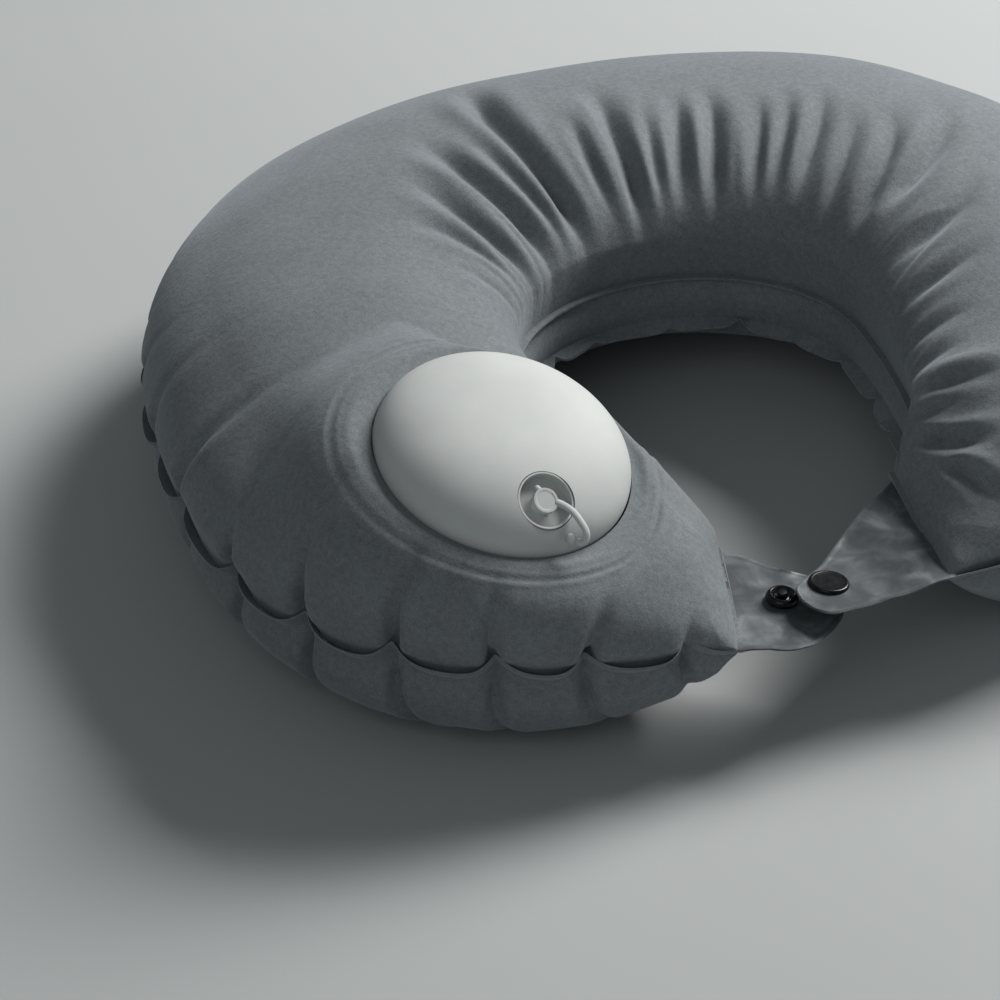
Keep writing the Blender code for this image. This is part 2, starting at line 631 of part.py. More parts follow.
flocked_film = new_material("flocked_film", (0.155, 0.170, 0.180), 0.95)
moulded_bulb = new_material("moulded_bulb", (0.62, 0.64, 0.63), 0.45)
moulded_tray = new_material("moulded_tray", (0.35, 0.36, 0.37), 0.5)
flap_film = new_material("flap_film", (0.5, 0.52, 0.53), 0.4)
open_cell_foam = new_material("open_cell_foam", (0.72, 0.70, 0.62), 1.0)
snap_plastic = new_material("snap_plastic", (0.008, 0.009, 0.011), 0.25)

PUMP_FRAME = (Matrix.Translation(PUMP_AT + PLAN_SHIFT) @ Matrix.Rotation(PUMP_LEAN_Y, 4, "Y")
              @ Matrix.Rotation(PUMP_LEAN_X, 4, "X"))


def dome_height_at(radius):
    return DOME_HEIGHT * (1 - (radius / DOME_RADIUS) ** DOME_SQUARENESS) ** (1 / DOME_SQUARENESS)


INLET_FRAME = (PUMP_FRAME @ Matrix.Rotation(INLET_ANGLE, 4, "Z")
               @ Matrix.Translation((INLET_RADIUS, 0, dome_height_at(INLET_RADIUS)))
               @ Matrix.Rotation(INLET_LEAN, 4, "Y"))
ANCHOR_FRAME = (PUMP_FRAME @ Matrix.Rotation(ANCHOR_ANGLE, 4, "Z")
                @ Matrix.Translation((ANCHOR_REACH, 0, dome_height_at(ANCHOR_REACH)))
                @ Matrix.Rotation(ANCHOR_LEAN, 4, "Y"))

build_envelope()
build_pump()
build_inlet()
build_tabs()
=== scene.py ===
import json
import math
import random

import bmesh
import bpy
import numpy as np
from mathutils import Matrix, Vector


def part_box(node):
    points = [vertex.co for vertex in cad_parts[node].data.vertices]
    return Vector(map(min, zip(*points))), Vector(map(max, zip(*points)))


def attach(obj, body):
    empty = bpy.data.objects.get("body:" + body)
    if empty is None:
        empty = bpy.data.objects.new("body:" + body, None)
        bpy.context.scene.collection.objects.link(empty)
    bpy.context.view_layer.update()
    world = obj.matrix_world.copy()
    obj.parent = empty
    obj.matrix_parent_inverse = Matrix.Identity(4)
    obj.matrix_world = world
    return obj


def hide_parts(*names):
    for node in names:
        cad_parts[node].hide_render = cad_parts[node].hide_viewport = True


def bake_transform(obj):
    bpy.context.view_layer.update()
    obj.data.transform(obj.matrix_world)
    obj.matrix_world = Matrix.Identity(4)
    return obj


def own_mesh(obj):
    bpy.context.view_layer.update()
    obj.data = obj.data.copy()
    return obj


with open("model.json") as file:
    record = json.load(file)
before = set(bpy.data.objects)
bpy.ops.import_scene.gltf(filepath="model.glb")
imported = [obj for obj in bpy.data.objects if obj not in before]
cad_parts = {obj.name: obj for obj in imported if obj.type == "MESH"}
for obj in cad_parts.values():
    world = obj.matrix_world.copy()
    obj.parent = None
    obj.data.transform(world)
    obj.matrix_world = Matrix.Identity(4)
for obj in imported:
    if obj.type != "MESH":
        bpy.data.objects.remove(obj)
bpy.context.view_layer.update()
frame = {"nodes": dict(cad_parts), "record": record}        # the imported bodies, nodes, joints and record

mm = 0.001
random.seed(7)


def linearColor(hexText):
    # sRGB hex to the linear colour that shaders take
    parts = [int(hexText[i:i + 2], 16) / 255 for i in (1, 3, 5)]
    return tuple(c / 12.92 if c <= 0.04045 else ((c + 0.055) / 1.055) ** 2.4 for c in parts) + (1.0,)


def smooth(low, high, value):
    share = np.clip((value - low) / (high - low), 0, 1)
    return share * share * (3 - 2 * share)


# the camera looks from the front left and above
cameraSetup = {
    "place": (-463.9 * mm, -1111.5 * mm, 817.5 * mm),
    "aim": (-89.7 * mm, -68.5 * mm, 45 * mm),
    "roll": -0.85,       # degrees
    "lens": 142.5,
}


def addCamera():
    place = Vector(cameraSetup["place"])
    look = (Vector(cameraSetup["aim"]) - place).to_track_quat("-Z", "Y").to_matrix().to_4x4()
    bpy.ops.object.camera_add(location=place)
    camera = bpy.context.object
    camera.name = "studio_camera"
    turn = Matrix.Rotation(math.radians(cameraSetup["roll"]), 4, "Z")
    camera.matrix_world = Matrix.Translation(place) @ look @ turn
    camera.data.lens = cameraSetup["lens"]
    camera.data.sensor_width = 36
    camera.data.clip_end = 50
    camera.data.dof.use_dof = False
    bpy.context.scene.camera = camera


addCamera()
print("camera done")


def newMaterial(name):
    # a material with only its shader and output
    material = bpy.data.materials.new(name)
    material.use_nodes = True
    material.node_tree.nodes.clear()
    output = material.node_tree.nodes.new("ShaderNodeOutputMaterial")
    shader = material.node_tree.nodes.new("ShaderNodeBsdfPrincipled")
    material.node_tree.links.new(shader.outputs["BSDF"], output.inputs["Surface"])
    return material, shader


def addNode(material, kind, settings=None, inputs=None, links=None):
    # settings are the node's own options, inputs its socket values, links socket to (node, output)
    node = material.node_tree.nodes.new(kind)
    for key, value in (settings or {}).items():
        setattr(node, key, value)
    for key, value in (inputs or {}).items():
        node.inputs[key].default_value = value
    for key, (source, output) in (links or {}).items():
        material.node_tree.links.new(source.outputs[output], node.inputs[key])
    return node


def objectCoords(material):
    return addNode(material, "ShaderNodeTexCoord")


def rampColors(node, stops):
    ramp = node.color_ramp
    while len(ramp.elements) < len(stops):
        ramp.elements.new(0.5)
    for element, (position, color) in zip(ramp.elements, stops):
        element.position = position
        element.color = color


flockLook = {
    "dark": "#5d6265", "mid": "#6d7275", "light": "#7d8285",
    "fibre": 0.55,       # mm between tufts, drawn coarser than the real 0.1 mm pile so that it shows
    "patch": 22.0,       # mm across an area where the pile lies one way
}


def makeFlock():
    # flocked PVC: short electrostatic nylon pile on film; gives a dull velvet with a speckle and a soft rim light
    material, shader = newMaterial("flocked PVC film")
    coords = objectCoords(material)
    tuft = addNode(material, "ShaderNodeTexNoise", inputs={"Scale": 1 / (flockLook["fibre"] * mm), "Detail": 3.0,
                   "Roughness": 0.65}, links={"Vector": (coords, "Object")})
    patch = addNode(material, "ShaderNodeTexNoise", inputs={"Scale": 1 / (flockLook["patch"] * mm), "Detail": 4.0,
                    "Roughness": 0.55}, links={"Vector": (coords, "Object")})
    speck = addNode(material, "ShaderNodeTexNoise", inputs={"Scale": 1 / (2.2 * mm), "Detail": 2.0},
                    links={"Vector": (coords, "Object")})
    blend = addNode(material, "ShaderNodeMix", {"data_type": "FLOAT"}, {"Factor": 0.25},
                    {"A": (tuft, "Fac"), "B": (patch, "Fac")})
    mixed = addNode(material, "ShaderNodeMix", {"data_type": "FLOAT"}, {"Factor": 0.3},
                    {"A": (blend, "Result"), "B": (speck, "Fac")})
    ramp = addNode(material, "ShaderNodeValToRGB", links={"Fac": (mixed, "Result")})
    rampColors(ramp, [(0.34, linearColor(flockLook["dark"])), (0.5, linearColor(flockLook["mid"])),
                      (0.68, linearColor(flockLook["light"]))])
    bump = addNode(material, "ShaderNodeBump", inputs={"Strength": 0.35, "Distance": 0.25 * mm},
                   links={"Height": (tuft, "Fac")})
    weave = addNode(material, "ShaderNodeBump", inputs={"Strength": 0.25, "Distance": 0.6 * mm},
                    links={"Height": (speck, "Fac"), "Normal": (bump, "Normal")})
    rough = addNode(material, "ShaderNodeMapRange", inputs={"To Min": 0.82, "To Max": 0.98},
                    links={"Value": (patch, "Fac")})
    tree = material.node_tree
    tree.links.new(ramp.outputs["Color"], shader.inputs["Base Color"])
    tree.links.new(weave.outputs["Normal"], shader.inputs["Normal"])
    tree.links.new(rough.outputs["Result"], shader.inputs["Roughness"])
    shader.inputs["Sheen Weight"].default_value = 0.35
    shader.inputs["Sheen Roughness"].default_value = 0.45
    shader.inputs["Sheen Tint"].default_value = linearColor("#c9d2d8")
    shader.inputs["Specular IOR Level"].default_value = 0.25
    return material


bulbLook = {"low": "#b4b7b6", "high": "#bec1bf", "grain": 0.35, "rough": (0.58, 0.66)}


def makeMouldedVinyl():
    # soft injection-moulded PVC with a fine spark-eroded grain; gives a satin skin with a broad highlight
    material, shader = newMaterial("satin moulded PVC")
    coords = objectCoords(material)
    grain = addNode(material, "ShaderNodeTexNoise", inputs={"Scale": 1 / (bulbLook["grain"] * mm), "Detail": 2.0},
                    links={"Vector": (coords, "Object")})
    cloud = addNode(material, "ShaderNodeTexNoise", inputs={"Scale": 1 / (25 * mm), "Detail": 3.0},
                    links={"Vector": (coords, "Object")})
    ramp = addNode(material, "ShaderNodeValToRGB", links={"Fac": (cloud, "Fac")})
    rampColors(ramp, [(0.3, linearColor(bulbLook["low"])), (0.7, linearColor(bulbLook["high"]))])
    rough = addNode(material, "ShaderNodeMapRange", inputs={"To Min": bulbLook["rough"][0],
                    "To Max": bulbLook["rough"][1]}, links={"Value": (cloud, "Fac")})
    bump = addNode(material, "ShaderNodeBump", inputs={"Strength": 0.12, "Distance": 0.08 * mm},
                   links={"Height": (grain, "Fac")})
    tree = material.node_tree
    tree.links.new(ramp.outputs["Color"], shader.inputs["Base Color"])
    tree.links.new(rough.outputs["Result"], shader.inputs["Roughness"])
    tree.links.new(bump.outputs["Normal"], shader.inputs["Normal"])
    shader.inputs["IOR"].default_value = 1.45
    shader.inputs["Specular IOR Level"].default_value = 0.35
    shader.inputs["Subsurface Weight"].default_value = 0.08
    shader.inputs["Subsurface Scale"].default_value = 2 * mm
    return material


def makeTrayVinyl():
    # the same vinyl in a darker shade for the hidden chamber; gives a plain satin grey
    material, shader = newMaterial("grey moulded PVC")
    coords = objectCoords(material)
    cloud = addNode(material, "ShaderNodeTexNoise", inputs={"Scale": 1 / (6 * mm), "Detail": 4.0},
                    links={"Vector": (coords, "Object")})
    ramp = addNode(material, "ShaderNodeValToRGB", links={"Fac": (cloud, "Fac")})
    rampColors(ramp, [(0.3, linearColor("#86898b")), (0.7, linearColor("#94979a"))])
    bump = addNode(material, "ShaderNodeBump", inputs={"Strength": 0.1, "Distance": 0.1 * mm},
                   links={"Height": (cloud, "Fac")})
    material.node_tree.links.new(ramp.outputs["Color"], shader.inputs["Base Color"])
    material.node_tree.links.new(bump.outputs["Normal"], shader.inputs["Normal"])
    shader.inputs["Roughness"].default_value = 0.5
    shader.inputs["IOR"].default_value = 1.53
    return material


def makeFlapFilm():
    # thin calendered PVC sheet; gives a slightly milky gloss
    material, shader = newMaterial("calendered PVC sheet")
    coords = objectCoords(material)
    ripple = addNode(material, "ShaderNodeTexNoise", inputs={"Scale": 1 / (3 * mm), "Detail": 2.0},
                     links={"Vector": (coords, "Object")})
    ramp = addNode(material, "ShaderNodeValToRGB", links={"Fac": (ripple, "Fac")})
    rampColors(ramp, [(0.3, linearColor("#b4b8ba")), (0.7, linearColor("#c6c9cb"))])
    bump = addNode(material, "ShaderNodeBump", inputs={"Strength": 0.2, "Distance": 0.1 * mm},
                   links={"Height": (ripple, "Fac")})
    material.node_tree.links.new(ramp.outputs["Color"], shader.inputs["Base Color"])
    material.node_tree.links.new(bump.outputs["Normal"], shader.inputs["Normal"])
    shader.inputs["Roughness"].default_value = 0.3
    shader.inputs["IOR"].default_value = 1.53
    return material


def makeFoam():
    # open-cell polyurethane foam; gives a matt cream with small dark cells, painted shade in the open pores
    material, shader = newMaterial("open cell foam")
    coords = objectCoords(material)
    cells = addNode(material, "ShaderNodeTexVoronoi", inputs={"Scale": 1 / (0.9 * mm)},
                    links={"Vector": (coords, "Object")})
    ramp = addNode(material, "ShaderNodeValToRGB", links={"Fac": (cells, "Distance")})
    # painted shade: the dark stop darkens each cell's middle, where a pore would lie in shade
    rampColors(ramp, [(0.05, linearColor("#8d8874")), (0.45, linearColor("#d6d1bf"))])
    bump = addNode(material, "ShaderNodeBump", inputs={"Strength": 0.6, "Distance": 0.4 * mm},
                   links={"Height": (cells, "Distance")})
    material.node_tree.links.new(ramp.outputs["Color"], shader.inputs["Base Color"])
    material.node_tree.links.new(bump.outputs["Normal"], shader.inputs["Normal"])
    shader.inputs["Roughness"].default_value = 0.95
    return material


def makeSnapResin():
    # polished moulded acetal; gives near black with a tight highlight and faint handling haze
    material, shader = newMaterial("polished acetal")
    coords = objectCoords(material)
    haze = addNode(material, "ShaderNodeTexNoise", inputs={"Scale": 1 / (2.5 * mm), "Detail": 5.0},
                   links={"Vector": (coords, "Object")})
    ramp = addNode(material, "ShaderNodeValToRGB", links={"Fac": (haze, "Fac")})
    rampColors(ramp, [(0.35, linearColor("#07080a")), (0.7, linearColor("#0d0e11"))])
    rough = addNode(material, "ShaderNodeMapRange", inputs={"To Min": 0.2, "To Max": 0.34},
                    links={"Value": (haze, "Fac")})
    material.node_tree.links.new(ramp.outputs["Color"], shader.inputs["Base Color"])
    material.node_tree.links.new(rough.outputs["Result"], shader.inputs["Roughness"])
    shader.inputs["IOR"].default_value = 1.48
    shader.inputs["Specular IOR Level"].default_value = 0.3
    return material


def makeTabFilmWithPaintedShade():
    # the weld margin without air behind it: the pile is crushed, so the film below gives smooth paler patches; all its
    # colours are painted darker than the lobe's flock, as painted shade on the tabs
    material, shader = newMaterial("crushed flock on PVC film with painted shade")
    coords = objectCoords(material)
    tuft = addNode(material, "ShaderNodeTexNoise", inputs={"Scale": 1 / (0.6 * mm), "Detail": 3.0},
                   links={"Vector": (coords, "Object")})
    worn = addNode(material, "ShaderNodeTexNoise", inputs={"Scale": 1 / (11 * mm), "Detail": 3.0, "Distortion": 0.6},
                   links={"Vector": (coords, "Object")})
    ramp = addNode(material, "ShaderNodeValToRGB", links={"Fac": (worn, "Fac")})
    # painted shade: these stops lie darker than the flock on the lobes, though the tabs are the same film
    rampColors(ramp, [(0.36, linearColor("#363b3f")), (0.55, linearColor("#474d51")), (0.72, linearColor("#6b7175"))])
    rough = addNode(material, "ShaderNodeMapRange", inputs={"From Min": 0.4, "From Max": 0.7, "To Min": 0.85,
                    "To Max": 0.5}, links={"Value": (worn, "Fac")})
    bump = addNode(material, "ShaderNodeBump", inputs={"Strength": 0.25, "Distance": 0.15 * mm},
                   links={"Height": (tuft, "Fac")})
    material.node_tree.links.new(ramp.outputs["Color"], shader.inputs["Base Color"])
    material.node_tree.links.new(rough.outputs["Result"], shader.inputs["Roughness"])
    material.node_tree.links.new(bump.outputs["Normal"], shader.inputs["Normal"])
    shader.inputs["Sheen Weight"].default_value = 0.15
    return material


flock = makeFlock()
tabFilmWithPaintedShade = makeTabFilmWithPaintedShade()
vinyl = makeMouldedVinyl()
trayVinyl = makeTrayVinyl()
flapFilm = makeFlapFilm()
foam = makeFoam()
snapResin = makeSnapResin()
print("materials done")


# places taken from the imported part
jointByName = {joint["name"]: joint for joint in frame["record"]["behaviour"]["joints"]}


def jointAxis(name):
    return Vector(jointByName[name]["axis"]).normalized()


def boxCentre(name):
    low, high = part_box(name)
    return (Vector(low) + Vector(high)) / 2


def tabFrame(name, side, tilt):
    # the origin lies on the tab's bend line, x runs out across the mouth and y along the bend line
    along = jointAxis(name) * -side
    out = along.cross(Vector((0, 0, 1)))
    up = out.cross(along)
    place = Matrix((out, along, up)).transposed().to_4x4()
    place.translation = Vector(jointByName[name]["pos_m"])
    return place @ Matrix.Rotation(math.radians(tilt), 4, "Y")


leftFrame = tabFrame("left_tab_flex", -1, 4)
rightFrame = tabFrame("right_tab_flex", 1, -7)

seams = {
    "neckY": -24.8 * mm,           # the neck's centre in the part's frame
    "halfWidth": 190 * mm, "bellyY": -9 * mm, "backReach": 204.3 * mm,
    # the right lobe ends a little shorter and is held up by the snapped tabs
    "leftTipOuter": (44.2 * mm, -144.1 * mm), "leftTipInner": (28.7 * mm, -90.8 * mm),
    "rightTipOuter": (35 * mm, -136.5 * mm), "rightTipInner": (41 * mm, -82 * mm),
    "rightRiseOuter": 4 * mm, "rightRiseInner": 8 * mm,
    "neckHalfWidth": 65.7 * mm, "neckBack": 58.8 * mm,
    "backSquareness": 2.3, "frontSquareness": 2.4,
    "outerZ": 38.2 * mm, "innerTopZ": 52.7 * mm, "innerBottomZ": 34.7 * mm,
    "bodyTop": 95.9 * mm, "tipTop": 84.8 * mm, "fullness": 2.3, "undercut": 1.5,
    "rightSwell": 4.5 * mm, "tipDroop": 15 * mm, "flattening": 1.03, "tipStart": 0.8, "shoulder": 0.35,
}

# the pump leans with the joint that it is pressed along, and its base stands a little above the flange's middle
pump = {"aboveFlange": 3.8 * mm, "radius": 43.5 * mm, "height": 19.6 * mm, "squareness": 2.23}


def findPumpFrame():
    up = -jointAxis("pump_press")
    right = Vector((0, 1, 0)).cross(up).normalized()
    place = Matrix((right, up.cross(right), up)).transposed().to_4x4()
    place.translation = boxCentre("pump_flange") + up * pump["aboveFlange"]
    return place


pumpFrame = findPumpFrame()


# the inflated envelope is one closed skin, drawn round the tube's section at every station along the U.
# A station runs from -1 at the left tip over 0 at the back to 1 at the right tip, and across runs from 0 at
# the outer seam to 1 at the inner seam.

envelope = {
    "stations": 900, "topRows": 140, "bottomRows": 44, "wallRows": 8,
    "outerMargin": 6.2 * mm, "marginTurnUp": 42, "topLip": 2.6 * mm, "bottomLip": 5 * mm, "marginThickness": 0.9 * mm,
    "tipMargin": 1.5 * mm,
    "overhang": 4.9 * mm,          # the top film stands out over the seam between two puckers
    "underhang": 3.2 * mm,         # and the bottom film a little less
    "neckBulge": 4.5 * mm, "neckBulgeByPump": 2.5 * mm,
    "cuspIn": 5.5 * mm, "cuspUp": 4.5 * mm, "cuspWidth": 4.0 * mm, "cuspLean": 1.7, "cuspReach": 11 * mm,
    "pinchWidth": 2.4 * mm, "pinchLean": 1.5, "pinchReach": 15 * mm,
    "creaseDepth": 4.8 * mm, "creaseLength": 32 * mm, "creaseWidth": 1.3 * mm, "creaseSpread": 0.04,
    "bottomDepth": 0.7, "bottomLength": 1.7,                       # the bottom's creases, as shares of those
    "strongTo": 236 * mm, "weakFrom": 330 * mm, "weakening": 0.62,
    "foldStrength": 1.45 * mm,
    # height and wavelength of the film's unevenness: gathers at the tips, small ripples, broad waves
    "gather": (0.8 * mm, 6 * mm), "ripple": (0.35 * mm, 9 * mm), "wave": (0.8 * mm, 28 * mm),
}
# the panel under the pump's rim: flat as far as the first radius, level with the rest again at the second;
# the rings round it are height, radius and half width in mm: a roll, and a groove between two weld ridges
landing = {"flat": 46 * mm, "fade": 53 * mm, "outwardFade": 27 * mm,
           "rings": [(0.8, 48.5, 2.6), (-0.4, 53.9, 1.2), (0.5, 52.1, 1.0), (0.5, 55.8, 1.1)]}
# puckers of the outer seam, in mm along it from the left tip, then the rule that carries on to the right tip
firstPuckers = [18, 52, 81, 116, 150, 187, 233, 268, 305, 333]
# folds that run down into the neck: station at the top end and at the bottom end, across at both, and then
# depth and half width in mm
neckFolds = [
    (-0.045, -0.098, 0.26, 0.99, 4.6, 6.5), (-0.148, -0.188, 0.50, 1.0, 3.6, 6.0),
    (0.021, 0.018, 0.50, 0.99, 4.0, 5.5), (0.093, 0.092, 0.58, 0.96, 2.6, 4.5),
    (0.122, 0.146, 0.56, 0.97, 3.2, 4.5), (-0.226, -0.254, 0.62, 1.0, 3.2, 5.5),
    (-0.30, -0.285, 0.70, 1.0, 2.6, 5.0), (-0.365, -0.35, 0.80, 1.0, 1.8, 4.5),
    (0.18, 0.21, 0.62, 0.95, 2.4, 4.5), (0.21, 0.24, 0.58, 0.93, 2.4, 4.5),
    (0.243, 0.285, 0.55, 0.93, 2.6, 5.0), (0.33, 0.42, 0.58, 0.96, 2.8, 6.0),
    (0.372, 0.44, 0.45, 0.88, 3.4, 7.0), (0.475, 0.54, 0.62, 0.95, 3.0, 6.0),
    (0.58, 0.62, 0.72, 0.97, 2.4, 5.0), (0.69, 0.70, 0.80, 1.0, 1.8, 4.0),
    (0.76, 0.775, 0.84, 1.0, 2.4, 4.0), (0.88, 0.913, 0.76, 0.98, 2.4, 4.0),
    (-0.01, -0.03, 0.62, 0.95, 1.6, 3.5), (0.055, 0.056, 0.66, 0.95, 1.6, 3.2),
    (-0.12, -0.14, 0.6, 0.97, 1.4, 3.5), (-0.2, -0.218, 0.72, 1.0, 1.6, 3.5),
    (-0.265, -0.27, 0.76, 1.0, 1.4, 3.2), (-0.33, -0.32, 0.82, 1.0, 1.4, 3.2),
    (0.30, 0.35, 0.66, 0.96, 1.6, 4.0), (0.51, 0.57, 0.76, 0.98, 1.6, 4.0),
    (-0.55, -0.56, 0.82, 1.0, 1.6, 4.0), (0.94, 0.955, 0.45, 0.9, 2.6, 5.0),
    (0.965, 0.975, 0.15, 0.6, 2.2, 4.5), (0.83, 0.86, 0.66, 0.95, 2.4, 5.0),
]


def superCurve(angle, squareness):
    return (np.maximum(np.sin(angle), 0) ** (2 / squareness), np.maximum(np.cos(angle), 0) ** (2 / squareness))


def tipPoint(station, end):
    # the left or the right tip's end of the inner or outer seam
    left, right = seams["leftTip" + end], seams["rightTip" + end]
    return np.where(station > 0, right[0], left[0]), np.where(station > 0, right[1], left[1])


def outerSeam(station):
    share = np.abs(station)
    backAcross, backAlong = superCurve(np.minimum(share, 0.5) * math.pi, seams["backSquareness"])
    frontAcross, frontAlong = superCurve(np.maximum(share - 0.5, 0) * math.pi, seams["frontSquareness"])
    tipX, tipY = tipPoint(station, "Outer")
    atBack = share <= 0.5
    x = np.where(atBack, seams["halfWidth"] * backAcross, tipX + (seams["halfWidth"] - tipX) * frontAlong)
    y = np.where(atBack, seams["bellyY"] + seams["backReach"] * backAlong,
                 seams["bellyY"] + (tipY - seams["bellyY"]) * frontAcross)
    return np.stack([np.copysign(x, station), y + seams["neckY"]], -1)


def innerSeam(station):
    angle = np.abs(station) * math.pi
    turn = np.maximum(angle - math.pi / 2, 0)
    atBack = angle <= math.pi / 2
    tipX, tipY = tipPoint(station, "Inner")
    x = np.where(atBack, seams["neckHalfWidth"] * np.sin(angle),
                 seams["neckHalfWidth"] + (tipX - seams["neckHalfWidth"]) * (1 - np.cos(turn)))
    y = np.where(atBack, seams["neckBack"] * np.cos(angle), tipY * np.sin(turn))
    return np.stack([np.copysign(x, station), y + seams["neckY"]], -1)


def planNormal(seam, station, side):
    step = 0.002
    run = seam(np.minimum(station + step, 1.0)) - seam(np.maximum(station - step, -1.0))
    run /= np.linalg.norm(run, axis=-1, keepdims=True)
    return np.stack([-run[..., 1], run[..., 0]], -1) * side


def tipFactor(station):
    # 1 along the body, rounding down to 0 at the tips
    past = np.clip((np.abs(station) - seams["tipStart"]) / (1 - seams["tipStart"]), 0, 1)
    return np.sqrt(np.maximum(1 - past * past, 0))


def stationList(count):
    # even along the body, closing up towards the rounded tips
    half = count // 2
    body = int(half * 0.74)
    along = np.linspace(0, seams["tipStart"], body + 1)
    tip = seams["tipStart"] + (1 - seams["tipStart"]) * np.sin(np.linspace(0, math.pi / 2, half - body + 1)[1:])
    oneSide = np.concatenate([along, tip])
    return np.concatenate([-oneSide[:0:-1], oneSide])


def arcAlong(line):
    return np.concatenate([[0], np.cumsum(np.linalg.norm(np.diff(line, axis=0), axis=1))])


def puckerPlaces(length):
    places = list(firstPuckers)
    while places[-1] < length / mm - 60:
        places.append(places[-1] + random.uniform(27, 41))
    return [place * mm for place in places]


def puckerStrengths(puckers, length):
    # the puckers are deepest round the front of the pump lobe
    return [1 - envelope["weakening"] * float(smooth(envelope["strongTo"], envelope["weakFrom"], place)
                                              * smooth(20 * mm, 130 * mm, length - place)) for place in puckers]


def cuspShape(distance, width, lean):
    # sharp on one side of the pucker and drawn out on the other
    scaled = np.where(distance > 0, distance / width, -distance / (width * lean))
    return np.exp(-scaled ** 1.25)


def cuspRow(arc, puckers, width, lean):
    return np.minimum(sum(cuspShape(arc - place, width, lean) for place in puckers), 1)


def surfaceNormal(points):
    alongU = np.gradient(points, axis=0)
    acrossTube = np.gradient(points, axis=1)
    normal = np.cross(acrossTube, alongU)
    return normal / np.maximum(np.linalg.norm(normal, axis=-1, keepdims=True), 1e-12)


def smoothNoise(points, scale, seed):
    # a few crossed waves: cheap, repeatable and without a grid
    rng = np.random.default_rng(seed)
    total = np.zeros(points.shape[:-1])
    for _ in range(9):
        direction = rng.normal(size=3)
        direction /= np.linalg.norm(direction)
        total += np.sin(points @ direction / scale * rng.uniform(0.7, 1.5) + rng.uniform(0, 6.28))
    return total / 3


def pumpLocal(points):
    inverse = np.array(pumpFrame.inverted())
    return points @ inverse[:3, :3].T + inverse[:3, 3]


def landOnPump(points, across, edgeMask):
    # the panel lies flat under the pump's rim; it has less room to settle on the neck's side
    local = pumpLocal(points)
    radius = np.hypot(local[..., 0], local[..., 1])
    fadeEnd = landing["fade"] + landing["outwardFade"] * (1 - smooth(0.60, 0.84, across))
    weight = (1 - smooth(0, 1, (radius - landing["flat"]) / (fadeEnd - landing["flat"]))) * edgeMask
    up = np.array(pumpFrame)[:3, 2]
    centre = np.array(pumpFrame.translation)
    planeZ = centre[2] - (up[0] * (points[..., 0] - centre[0]) + up[1] * (points[..., 1] - centre[1])) / up[2]
    points[..., 2] = points[..., 2] * (1 - weight) + planeZ * weight
    ridges = sum(height * mm * np.exp(-((radius - at * mm) / (width * mm)) ** 2)
                 for height, at, width in landing["rings"])
    near = smooth(-30 * mm, -12 * mm, local[..., 2])
    points += (ridges * near * edgeMask)[..., None] * up
    return points


def sectionRise(across, power):
    # the tube's section: 0 at both seams, 1 in the middle
    return (1 - np.abs(2 * across - 1) ** power) ** (1 / power)


def inflatedPanel(station, across, arc, fromOuter, puckers, strengths, top):
    # the panel's full shape, before its creases
    end = tipFactor(station)
    plan = outerSeam(station) * (1 - across)[..., None] + innerSeam(station) * across[..., None]
    stand = np.sqrt(np.clip(across / 0.012, 0, 1)) * (1 - smooth(0.012, 0.2, across))
    overhang = envelope["overhang"] if top else envelope["underhang"]
    pinch = sum(strength * cuspShape(arc - place, envelope["pinchWidth"], envelope["pinchLean"])
                for place, strength in zip(puckers, strengths))
    pinched = np.minimum(pinch, 1) * np.exp(-(fromOuter / envelope["pinchReach"]) ** 1.6)
    plan += planNormal(outerSeam, station, 1) * (overhang * stand * (1 - pinched) * end)[..., None]
    lifted = smooth(0.62, 0.98, station)
    outerZ = seams["outerZ"] + seams["rightRiseOuter"] * lifted
    innerZ = seams["outerZ"] + ((seams["innerTopZ"] if top else seams["innerBottomZ"]) - seams["outerZ"]) * end
    innerZ = innerZ + seams["rightRiseInner"] * lifted
    seamZ = outerZ * (1 - across) + innerZ * across
    middleZ = (outerZ + innerZ) / 2
    if top:
        standIn = np.sqrt(np.clip((1 - across) / 0.02, 0, 1)) * (1 - smooth(0.03, 0.3, 1 - across))
        # beside the pump the film is pushed out towards the neck
        bulge = envelope["neckBulge"] + envelope["neckBulgeByPump"] * np.exp(-((station + 0.78) / 0.08) ** 2)
        plan += planNormal(innerSeam, station, -1) * (bulge * standIn * end ** 0.6)[..., None]
        share = np.abs(station)
        fall = np.clip((share - 0.5) / seams["shoulder"], 0, 1)
        height = np.where(share <= 0.5, seams["bodyTop"],
                          seams["bodyTop"] + (seams["tipTop"] - seams["bodyTop"]) * fall)
        height = height + seams["rightSwell"] * smooth(0.06, 0.3, station) * (1 - smooth(0.55, 0.8, station))
        height = height - seams["tipDroop"] * smooth(0.8, 0.96, share) * smooth(0.35, 0.9, across)
        z = seamZ + (height - middleZ) * end * sectionRise(across, seams["fullness"])
    else:
        power = np.where(across < 0.5, seams["fullness"], seams["undercut"])
        z = seamZ - middleZ * seams["flattening"] * end * sectionRise(across, power)
    points = np.stack([plan[..., 0], plan[..., 1], z], -1)
    if top:
        points = landOnPump(points, across, smooth(0, 0.03, across) * smooth(0, 0.05, 1 - across))
    return points


